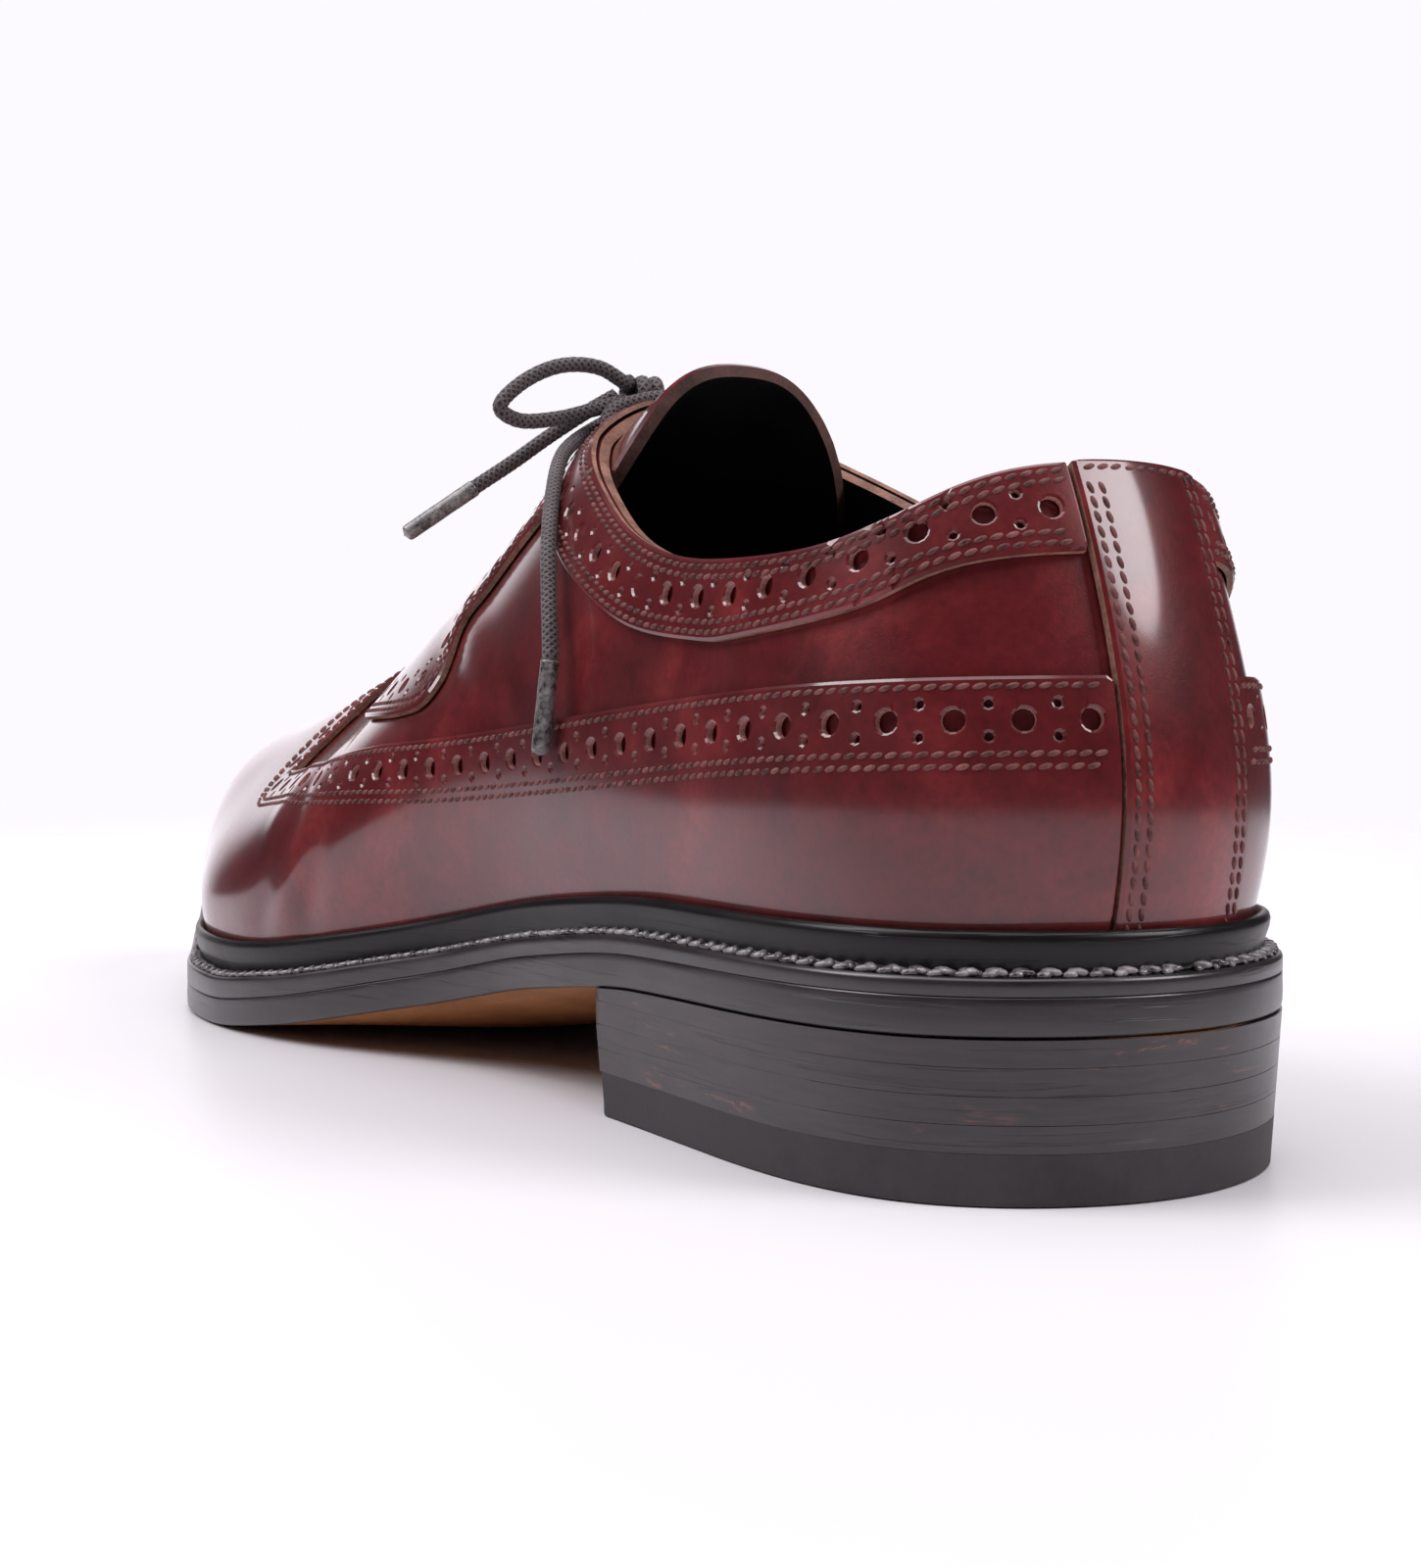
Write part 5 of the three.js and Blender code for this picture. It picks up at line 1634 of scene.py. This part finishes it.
    def _tongue(self) -> None:
        """Make the tongue, which rounds off at its upper corners."""
        last = self.last
        top, end = self.tongue_top * last.length, self.tongue_end * last.length
        half, root, corner = self.tongue_width / 2, self.tongue_root / 2, 9.0
        turns = np.linspace(0, math.pi / 2, 7)
        right = [(top + corner - corner * math.sin(a), -half + corner - corner * math.cos(a)) for a in turns]
        left = [(px, -py) for px, py in reversed(right)]
        line = np.array([(end, -root), *right, *left, (end, root)])
        plan = side_of_line(self.chart.points[..., :2].reshape(-1, 2), line, [(end, 0.0)])
        region = np.minimum(plan.reshape(self.chart.u.shape), (self.chart.v - 2.2) * 15.0)
        region = np.minimum(region, end - 1.0 - self.chart.points[..., 0])
        lift = -self.wall - last.gap - self.tongue
        piece = PatternPiece("tongue_piece", self.chart, region, lift, self.tongue, skived=0.5, edge_round=0.6)
        materials = [self.finishes.calf, self.finishes.lining, self.finishes.tongue_edge]
        made = piece.make(self.place, "tongue_leather", materials)
        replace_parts(made, "tongue")


@dataclass
class Sole:
    """Welt, outsole, insole and the stacked heel."""

    last: Last
    place: Place
    finishes: Finishes
    margin: float = 6.4
    wall: float = 2.2
    overlay: float = 1.2
    strap: float = 1.7
    lip: float = 1.8
    lip_rear: float = 5.6
    lip_front: float = 7.4
    insole: float = 3.0
    heel_length: float = 89.0
    heel_width: float = 75.0
    breast_curve: float = 3.0
    taper: float = 1.3
    top_piece: float = 6.4
    lifts: int = 4
    strap_ends: float = 0.8
    wing_begins: float = 1.6
    waist_round: float = 5.5

    def lean(self, u: Array) -> Array:
        """Outside of the wing, or of the strap at the back, with its clearance."""
        away = np.minimum(u, AROUND - u)
        share = smooth((away - self.strap_ends) / (self.wing_begins - self.strap_ends))
        return 2 * self.last.gap + mix(self.strap, self.overlay, share)

    def _plate(self, name: str, edge: Callable[[Array, Array], Array], rows: Sequence[tuple],
               bottom: Callable[[Array, Array], Array], top: Callable[[Array, Array], Array],
               side_rows: range) -> Mesh:
        """Closed plate whose section is swept round its own outline.

        Args:
            name: Name of the mesh.
            edge: Gives the outline for stations and insets.
            rows: Share towards the middle, inset, whether on top, and height off that face.
            bottom: Height of the underside for x and the share towards the middle.
            top: Height of the upper face, likewise.
            side_rows: Rows that belong to the standing edge.

        Returns:
            The mesh, with the underside, the edge and the top as materials 0, 1 and 2.
        """
        table = np.array(rows, float)

        def laid(s: Array, t: Array) -> Array:
            """Points of the swept section."""
            k = np.round(t * (len(table) - 1)).astype(int)
            u = s * AROUND
            out = edge(u, table[k, 1])
            centre = (edge(u, table[k, 1]) + edge((AROUND - u) % AROUND, table[k, 1])) / 2
            points = mix(out, centre, table[k, 0][:, None])
            x, share = points[:, 0], table[k, 0]
            points[:, 2] = np.where(table[k, 2] > 0, top(x, share), bottom(x, share)) + table[k, 3]
            return self.place.metres(points)

        def kinds(_: Array, t: Array) -> Array:
            """Part of the section that a face belongs to."""
            k = np.floor(t * (len(table) - 1)).astype(int)
            return np.where(k < side_rows.start, 0, np.where(k < side_rows.stop, 1, 2))

        return sheet_mesh(name, 384, len(table) - 1, laid, kinds)

    def _bottom(self, x: Array, share: Array) -> Array:
        """Underside of the outsole, rounded across the waist."""
        waist = smooth((x - self.heel_length + 6.0) / 36.0) * smooth((196.0 - x) / 50.0)
        level = self.last.underside(x)
        return np.maximum(level - self.waist_round * waist * (1 - (1 - share) ** 2), np.minimum(level, 0.4))

    def _outsole(self) -> None:
        """Make the outsole with its rounded, inked edge."""
        rows = [(1, 0, 0, 0), (0.8, 0, 0, 0), (0.6, 0, 0, 0), (0.4, 0, 0, 0), (0.25, 0, 0, 0), (0.12, 0, 0, 0),
                (0, 1.3, 0, 0), (0, 0.5, 0, 0.1), (0, 0.12, 0, 0.45),
                (0, 0, 0, 1.0), (0, -0.05, 0, 2.5), (0, 0, 1, -1.0), (0, 0.02, 1, -0.2), (0, 0.10, 1, 0.10),
                (0, 1.2, 1, 0.14), (0.2, 0, 1, 0), (1, 0, 1, 0)]
        mesh = self._plate("outsole_leather", lambda u, inset: self._rim(u, inset), rows, self._bottom,
                           lambda x, _: self.last.underside(x) + self.last.outsole, range(6, 14))
        materials = [self.finishes.sole, self.finishes.sole_edge, self.finishes.welt]
        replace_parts(keep_object("outsole_leather", mesh, materials), "outsole")

    def _rim(self, u: Array, inset: Array | float) -> Array:
        """Outline of the sole, drawn in by an inset."""
        outer, inner = self.last.rim(u, self.margin), self.last.rim(u, 0.0)
        run = unit(outer - inner)
        return outer - run * np.broadcast_to(np.asarray(inset, float), np.shape(u))[..., None]

    def _insole(self) -> None:
        """Make the insole with its black sock."""
        def edge(u: Array, inset: Array) -> Array:
            """Outline inside the upper."""
            at = np.zeros_like(u)
            depth = self.wall + 2 * self.last.gap + inset
            return self.last.surface(u, at) - self.last.outward(u, at) * depth[..., None]

        def bottom(x: Array, _: Array) -> Array:
            """Height of the insole's underside."""
            return self.last.underside(x) + self.last.outsole + self.last.gap

        rows = [(1, 0, 0, 0), (0.4, 0, 0, 0), (0, 0, 0, 0), (0, 0, 1, -0.5),
                (0, 0.5, 1, 0), (0.3, 0, 1, 0), (1, 0, 1, 0)]
        mesh = self._plate("insole_sock", edge, rows, bottom,
                           lambda x, _: bottom(x, _) + self.last.welt_thickness(x) + self.insole, range(2, 4))
        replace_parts(keep_object("insole_sock", mesh, [self.finishes.lining] * 3), "insole")

    def _welt(self) -> None:
        """Make the storm welt: shelf, hollow, and the lip that stands against the upper."""
        last = self.last
        lip = [(0.0, 0.0), (0.0, 0.12), (0.0, 0.4), (0.0, 0.8), (0.12, 0.96), (0.35, 1.0), (0.65, 1.0), (0.88, 0.95),
               (1.06, 0.82), (1.12, 0.6), (1.08, 0.38), (1.05, 0.2), (1.12, 0.08), (1.35, 0.0)]
        rows = len(lip) + 9

        def laid(s: Array, t: Array) -> Array:
            """Points of the welt's section."""
            u = s * AROUND
            k = np.round(t * rows).astype(int)
            zero = np.zeros_like(u)
            foot = last.surface(u, zero)
            away = last.outward(u, zero)
            lean = self.lean(u)
            inner = foot - away * (self.wall + last.gap)
            outer = self._rim(u, 0.0)
            height = mix(self.lip_rear, self.lip_front, smooth(foot[:, 0] / last.length))
            level = last.level_at(u, foot[:, 2] + height)
            result = np.empty((len(u), 3))
            for row in range(rows + 1):
                here = k == row
                a, b, f = u[here], level[here], lean[here]
                if row in (0, rows):
                    p = inner[here].copy()
                    p[:, 2] = last.underside(p[:, 0]) + last.outsole + last.gap
                elif row == 1:
                    p = inner[here].copy()
                    p[:, 2] = last.seat(p[:, 0])
                elif row < 2 + len(lip):
                    across, up = lip[row - 2]
                    base = last.surface(a, b * up)
                    p = base + last.outward(a, b * up) * (f + across * self.lip)[:, None]
                    settle = 1 - smooth(up / 0.25)
                    p[:, 2] = mix(p[:, 2], last.seat(p[:, 0]) + up * b * 12.0 * 0.5, settle)
                else:
                    part = row - 2 - len(lip)
                    inset = (2.6, 1.2, 0.5, 0.12, 0.0, 0.0, 0.08)[part]
                    p = outer[here] + unit(foot[here] - outer[here]) * inset
                    shelf = last.seat(p[:, 0])
                    under = last.underside(p[:, 0]) + last.outsole + last.gap - 0.12
                    p[:, 2] = (shelf, shelf, shelf - 0.05, shelf - 0.3, shelf - 0.7, under + 0.1, under)[part]
                result[here] = p
            return self.place.metres(result)

        def kinds(_: Array, t: Array) -> Array:
            """Tan top of the lip, black elsewhere, inked on the edge."""
            k = np.floor(t * rows).astype(int)
            return np.where((k >= 5) & (k <= 6), 1, np.where(k >= 4 + len(lip), 2, 0))

        mesh = sheet_mesh("storm_welt", 640, rows, laid, kinds)
        materials = [self.finishes.welt, self.finishes.lip, self.finishes.sole_edge]
        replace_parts(keep_object("storm_welt", mesh, materials), "welt")

    def _welt_stitches(self) -> None:
        """Sew the heavy row on the welt's shelf."""
        u = np.linspace(0, AROUND, 1601)
        outer, foot = self._rim(u, 0.0), self.last.surface(u, np.zeros_like(u))
        run = unit(foot - outer)
        for inset, length, width, tilt, sink in ((1.9, 4.3, 1.6, 34.0, -0.2), (1.9, 3.6, 1.4, -38.0, -0.5)):
            heavy = Stitching(length, width, 3.2, tilt)
            line = outer + run * inset
            line[:, 2] = self.last.seat(line[:, 0])
            heavy.sew(line, np.tile([0.0, 0.0, 1.0], (len(line), 1)), sink)
            name = "welt_stitches" if tilt > 0 else "welt_stitches_under"
            heavy.make(name, self.place, "welt_leather", self.finishes.welt_thread_with_glints)

    def _heel_piece(self, name: str, low: float, high: Callable[[Array], Array], finish: Material,
                    node: str) -> None:
        """Make one layer of the heel.

        Args:
            name: Name of the piece.
            low: Height of its underside.
            high: Height of its upper face along x.
            finish: Its material.
            node: Node that it stands for.
        """
        u = np.linspace(-AROUND / 2, AROUND / 2, 1201)

        def outline(height: float) -> Array:
            """Outline of the heel at a height."""
            drawn = self.taper * (1 - height / self.last.heel_height)
            rim = self._rim(u % AROUND, np.full(len(u), drawn))
            edge_y = rim[:, 1] / self.heel_width
            breast = self.heel_length - self.breast_curve * (1 - edge_y**2)
            rim = rim[rim[:, 0] < breast]
            rim = resample(rim, 1.6)
            y = np.linspace(rim[-1, 1], rim[0, 1], 12)[1:-1]
            x = self.heel_length - self.breast_curve * (1 - (y / self.heel_width) ** 2)
            return np.vstack([rim[:, :2], np.stack([x, y], axis=1)])

        lower, upper = outline(low), outline(float(high(0.0)))
        count = min(len(lower), len(upper))
        closed = [np.vstack([loop, loop[:1]]) for loop in (lower, upper)]
        lower, upper = (resample(loop, arc_lengths(loop)[-1] / count)[:count] for loop in closed)
        bm = bmesh.new()
        foot = [bm.verts.new(self.place.metres((x, y, low))) for x, y in lower]
        base = bm.faces.new(foot)
        made = bmesh.ops.extrude_face_region(bm, geom=[base], use_keep_orig=True)["geom"]
        raised = [part for part in made if isinstance(part, bmesh.types.BMVert)]
        for vert in raised:
            k = min(range(count), key=lambda n: (foot[n].co - vert.co).length_squared)
            x, y = upper[k]
            vert.co = self.place.metres((x, y, float(high(x))))
        edges = [edge for edge in bm.edges if abs(edge.verts[0].co.z - edge.verts[1].co.z) < 2e-4]
        bmesh.ops.bevel(bm, geom=edges, offset=0.05 * MM, offset_type="OFFSET", segments=2, profile=0.5,
                        affect="EDGES", material=-1, clamp_overlap=True)
        bmesh.ops.recalc_face_normals(bm, faces=bm.faces)
        for face in bm.faces:
            face.smooth = len(face.verts) < 8
        mesh = take_mesh(bm, name)
        mesh.set_sharp_from_angle(angle=math.radians(18))
        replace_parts(keep_object(name, mesh, [finish]), node)

    def _heel(self) -> None:
        """Stack the heel on its rubber top piece."""
        last = self.last
        self._heel_piece("heel_top_piece", 0.0, lambda x: np.full(np.shape(x), self.top_piece + 0.06),
                         self.finishes.rubber, "top_piece")
        pitch = (last.heel_height - self.top_piece) / self.lifts
        for number in range(1, self.lifts + 1):
            low = self.top_piece + last.gap + (self.lifts - number) * pitch - 0.22
            under = (lambda x: last.underside(x) - 0.02) if number == 1 else (
                lambda x, low=low: np.full(np.shape(x), low + pitch - 0.02))
            self._heel_piece(f"heel_stack_{number}", low, under, self.finishes.stack,
                             f"heel_lift_{number}")

    def build(self) -> None:
        """Make the whole bottom of the shoe."""
        self._outsole()
        self._insole()
        self._welt()
        self._welt_stitches()
        self._heel()


class Route(Enum):
    """Free runs of the lace, from the knot outwards, as they are laid in the part's source."""

    LATERAL_LOOP = "lace_loop_lateral"
    MEDIAL_LOOP = "lace_loop_medial"
    HANGING_END = "lace_end_hanging"
    SIDE_END = "lace_end_side"


ROUTES = {
    Route.LATERAL_LOOP: (
        (128.7, 7.6, 113.8), (128.3, 13, 116), (128.8, 20, 115.8), (130, 26.5, 112.6), (130.6, 30, 108.6),
        (131.2, 26.5, 106.8), (130.2, 19.5, 107.4), (129.2, 12.5, 109.4), (128.6, 7.6, 110.9),
    ),
    Route.MEDIAL_LOOP: (
        (128.7, -2, 113.4), (130.2, -9, 112.8), (132.5, -17, 109.2), (134, -25, 103.5), (133.5, -31, 98.5),
        (130.6, -32.5, 97), (128, -28, 100.5), (127.6, -20, 106), (128.6, -11, 110), (131, -2, 110.2),
    ),
    Route.HANGING_END: (
        (131, 7.6, 108.7), (131.4, 11.5, 106.6), (128.5, 17.5, 103.4), (122, 23.4, 99.6), (113, 29.5, 92.2),
        (105.8, 33.8, 84.6), (101.4, 36, 77.9), (98.4, 37.4, 72.7), (96.4, 38.3, 67.6),
    ),
    Route.SIDE_END: (
        (132.1, 7.6, 112.2), (134, 12, 109.4), (137, 18, 105.0), (138.8, 23.5, 100.8), (140, 29.5, 96.7),
    ),
}
AGLETS = {
    Route.HANGING_END: ("aglet_hanging", (96.3, 38.35, 67.2), (97.7, 39.4, 53.3)),
    Route.SIDE_END: ("aglet_side", (140.15, 29.9, 96.4), (143.3, 41, 88.4)),
}


@dataclass
class Laces:
    """Braided lace: bars, knot, bow and the two ends with their aglets."""

    upper: Upper
    place: Place
    finishes: Finishes
    diameter: float = 2.5
    aglet: float = 2.9
    aglet_length: float = 14.0
    knot: tuple[float, float, float] = (130.5, 3.0, 112.2)
    sides: int = 18

    def tube(self, name: str, path: Array, radius: float, relief: float = 0.05, taper: Array | None = None,
             ) -> Mesh:
        """Round tube along a path, closed at both ends, with the relief of its braid.

        Args:
            name: Name of the mesh.
            path: Points of its centre line.
            radius: Its radius.
            relief: Share of the radius by which the strands stand out.
            taper: Radius shares along the path.

        Returns:
            The mesh.
        """
        tangent = unit(np.gradient(path, axis=0))
        normal = np.empty_like(path)
        normal[0] = unit(np.cross(tangent[0], (0.3, 0.2, 1.0)))
        for i in range(1, len(path)):
            normal[i] = unit(normal[i - 1] - tangent[i] * (normal[i - 1] @ tangent[i]))
        binormal = np.cross(tangent, normal)
        along = arc_lengths(path)
        shares = np.ones(len(path)) if taper is None else taper
        steps = len(path) + 3
        strands, lay = WaxedBraid.strands, WaxedBraid.lay

        def laid(s: Array, t: Array) -> Array:
            """Points of the tube's wall and its two round ends."""
            row = np.round(s * steps).astype(int)
            i = np.clip(row - 2, 0, len(path) - 1)
            shrink = np.where((row == 0) | (row == steps), 0.0, np.where((row == 1) | (row == steps - 1), 0.72, 1.0))
            angle = 2 * np.pi * t
            phase = along[i] * 2 * np.pi * strands / lay / 2
            weave = np.maximum(np.sin(strands * angle + phase), np.sin(strands * angle - phase))
            r = radius * shares[i] * shrink * (1 + relief * (weave - 0.7))
            out = np.where(row < 2, -1.0, np.where(row > steps - 2, 1.0, 0.0)) * (1 - shrink) * radius * 0.35
            points = path[i] + tangent[i] * out[:, None]
            points = points + normal[i] * (np.cos(angle) * r)[:, None] + binormal[i] * (np.sin(angle) * r)[:, None]
            return self.place.metres(points)

        mesh = sheet_mesh(name, steps, self.sides, laid)
        layer = mesh.uv_layers["run"]
        flat = np.empty(len(layer.data) * 2, np.float32)
        layer.data.foreach_get("uv", flat)
        flat = flat.reshape(-1, 2)
        flat[:, 0] *= along[-1]
        layer.data.foreach_set("uv", flat.ravel())
        return mesh

    def _bars(self) -> None:
        """Make the five bars that cross between the eyelets."""
        bm = bmesh.new()
        last = self.upper.last
        rise = last.gap + self.upper.overlay + last.gap + self.diameter / 2
        for i in range(self.upper.eyelets):
            x = self.upper.first_eyelet * last.length + i * self.upper.eyelet_pitch
            reach = float(self.upper.half_gap(x)) + self.upper.eyelet_inset
            shares = (1.0, 1.0, 0.97, 0.82, 0.5, 0.0, -0.5, -0.82, -0.97, -1.0, -1.0)
            lifts = (-2.2, 0.2, 2.0, rise + 0.1, rise, rise, rise, rise + 0.1, 2.0, 0.2, -2.2)
            points = []
            for share, lift in zip(shares, lifts):
                u, v = self.upper.over_plan(x, share * reach)
                points.append(last.surface(u, v) + last.outward(u, v) * lift)
            bm.from_mesh(self.tube("bar", catmull_rom(np.array(points), 0.45), self.diameter / 2))
        bars = keep_object("lace_bars", take_mesh(bm, "lace_bars"), [self.finishes.braid])
        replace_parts(bars, "lace_crossings")

    def _knot(self) -> None:
        """Wind the knot: the lace goes twice round and then dives under itself."""
        x, y, z = self.knot
        turn = np.linspace(-0.2, 2.25, 150) * 2 * math.pi
        share = np.linspace(0, 1, 150)
        path = np.stack([x + 2.15 * np.cos(turn), y - 2.9 + 5.8 * share, z + 2.25 * np.sin(turn)], axis=1)
        mesh = self.tube("knot_wrap", resample(path, 0.4), self.diameter / 2 * 0.98)
        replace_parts(keep_object("knot_wrap", mesh, [self.finishes.braid]), "lace_knot")

    def _aglet(self, route: Route) -> Piece:
        """Make the film-wrapped tip of a lace end."""
        name, start, end = AGLETS[route]
        a = np.array(start, float)
        run = unit(np.array(end, float) - a)
        stations = np.array([0.3, 0.45, 0.8, 2.0, 3.5, 6.0, 9.0, 11.5, 13.2, 13.9, 14.2])
        shares = np.array([0.93, 1.0, 0.99, 0.97, 0.985, 0.96, 0.98, 0.96, 0.97, 0.93, 0.80])
        fine = np.linspace(stations[0], stations[-1], 48)
        path = a + run * fine[:, None]
        mesh = self.tube(name + "_film", path, self.aglet / 2, 0.0, np.interp(fine, stations, shares))
        film = keep_object(name + "_film", mesh, [self.finishes.aglet])
        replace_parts(film, name)
        return film

    def free_runs(self) -> None:
        for route, points in ROUTES.items():
            path = catmull_rom(np.array(points), 0.4)
            if route in AGLETS:
                _, start, end = AGLETS[route]
                run = unit(np.array(end) - np.array(start))
                inside = np.array(start) + run * np.linspace(0.4, self.aglet_length - 1.0, 32)[:, None]
                path = resample(np.vstack([path, inside]), 0.4)
                self._aglet(route)
            mesh = self.tube(route.value + "_braid", path, self.diameter / 2)
            piece = keep_object(route.value + "_braid", mesh, [self.finishes.braid])
            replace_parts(piece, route.value)
            line = self.place.metres(path)

    def build(self) -> None:
        """Make the bars and the knot."""
        self._bars()
        self._knot()


@dataclass
class Studio:
    """Camera, pale floor and soft lights."""

    place: Place
    eye: tuple[float, float, float] = (-204.8, 191.45, 62.8)
    heading: float = 40.6
    pixels: tuple[float, float] = (520.0, 995.0)
    photo_focal: float = 1198.6
    photo_pitch: float = 6.76
    focal: float = 2300.0
    frame_size: tuple[float, float] = (1450.0, 1600.0)
    sweep_heading: float = 25.0
    sweep_from: float = 0.80
    sweep_to: float = 0.94
    room: Colour = (0.035, 0.033, 0.036)
    sweep: Colour = (1.30, 1.24, 1.32)
    backdrop: Colour = (0.980, 0.955, 1.0)
    floor_radius: float = 0.30
    floor_fade: float = 0.80
    lamps: tuple = (
        ("top_light", (0.02, 0.10, 1.0), 66.0, 2.6, (1.0, 0.97, 1.0)),
        ("left_light", (0.40, 0.66, 0.70), 32.0, 1.7, (1.0, 0.97, 1.0)),
        ("heel_light", (-0.60, -0.50, 0.62), 28.0, 1.6, (1.0, 0.96, 0.99)),
    )

    def camera(self) -> None:
        """Stand the camera where the photograph was taken from."""
        heading, pitch = math.radians(self.heading), math.radians(self.photo_pitch)
        level = Vector((math.cos(heading), -math.sin(heading), 0.0))
        right = Vector((-math.sin(heading), -math.cos(heading), 0.0))
        ahead = level * math.cos(pitch) + Vector((0, 0, math.sin(pitch)))
        up = right.cross(ahead)
        dx = (self.pixels[0] - self.frame_size[0] / 2) / self.photo_focal
        dy = (self.frame_size[1] / 2 - self.pixels[1]) / self.photo_focal
        aim = (ahead + right * dx + up * dy).normalized()
        data = bpy.data.cameras.new("photo_camera")
        data.lens = data.sensor_width * self.focal / self.frame_size[1]
        data.clip_start, data.clip_end = 0.01, 20.0
        camera = bpy.data.objects.new("photo_camera", data)
        camera.location = self.place.metres(self.eye)
        camera.rotation_euler = aim.to_track_quat("-Z", "Y").to_euler()
        bpy.context.scene.collection.objects.link(camera)
        bpy.context.scene.camera = camera

    def _floor(self) -> None:
        """Lay the pale floor, which fades into the backdrop."""
        g = Graph("pale_floor", Base_Color=(0.735, 0.718, 0.748), Specular_IOR_Level=0.25)
        where = g.place()
        dust = g.noise(where, 6.0, 3.0)
        away = g.node("VectorMath", {0: where}, operation="LENGTH").outputs["Value"]
        solid = g.span(away, self.floor_radius, self.floor_fade, 1.0, 0.0)
        material = g.finish(Roughness=g.span(dust, 0.3, 0.7, 0.38, 0.44), Alpha=solid)
        bm = bmesh.new()
        bmesh.ops.create_grid(bm, x_segments=2, y_segments=2, size=self.floor_fade * 1.05)
        bmesh.ops.translate(bm, verts=bm.verts, vec=(0, 0, -0.0002))
        mesh = take_mesh(bm, "floor")
        mesh.materials.append(material)
        floor = bpy.data.objects.new("floor", mesh)
        bpy.context.scene.collection.objects.link(floor)

    def _sun(self, name: str, direction: Sequence[float], angle: float, strength: float, tint: Colour) -> None:
        """Hang a soft light far away, seen in a direction from the shoe."""
        data = bpy.data.lights.new(name, "SUN")
        data.angle, data.energy, data.color = math.radians(angle), strength, tint
        lamp = bpy.data.objects.new(name, data)
        lamp.rotation_euler = Vector(direction).to_track_quat("Z", "Y").to_euler()
        bpy.context.scene.collection.objects.link(lamp)

    def _world(self) -> None:
        """White sweep ahead and below, dim room elsewhere, and the plain backdrop for the camera."""
        world = bpy.data.worlds.new("studio")
        world.use_nodes = True
        g = WorldGraph(world)
        where = g.node("TexCoord").outputs["Generated"]
        height = g.node("SeparateXYZ", {"Vector": where}).outputs[2]
        heading = math.radians(self.sweep_heading)
        ahead = (math.cos(heading), -math.sin(heading), 0.0)
        facing = g.node("VectorMath", {0: where, 1: ahead}, operation="DOT_PRODUCT").outputs["Value"]
        sweep = g.span(facing, self.sweep_from, self.sweep_to, 0.0, 1.0)
        below = g.span(height, -0.03, -0.22, 0.0, 1.0)
        light = g.blend(g.sums("MAXIMUM", sweep, below), self.room, self.sweep)
        seen = g.node("LightPath").outputs["Is Camera Ray"]
        g.link(g.blend(seen, light, self.backdrop), g.shader.inputs["Color"])
        bpy.context.scene.world = world

    def build(self) -> None:
        """Light the scene."""
        self._floor()
        self._world()
        for lamp in self.lamps:
            self._sun(*lamp)
        bpy.context.scene.view_settings.view_transform = "Standard"


def main() -> None:
    """Build the shoe in order, set over the imported outsole."""
    logging.basicConfig(level=logging.INFO, format="%(message)s")
    last = Last()
    sole_rim = last.rim(np.arange(2 * AROUND) / 2, Sole.margin)
    low, high = (np.array(corner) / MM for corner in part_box("outsole"))
    shift = (low + high) / 2 - (sole_rim.min(axis=0) + sole_rim.max(axis=0)) / 2
    shift[2] = 0.0
    LOG.info("shift %s", shift)
    place = Place(shift)
    finishes = Finishes()
    upper = Upper(last, place, finishes)
    studio = Studio(place)
    studio.camera()
    laces = Laces(upper, place, finishes)
    laces.free_runs()
    laces.build()
    upper.build()
    Sole(last, place, finishes).build()
    studio.build()


if __name__ == "__main__":
    main()
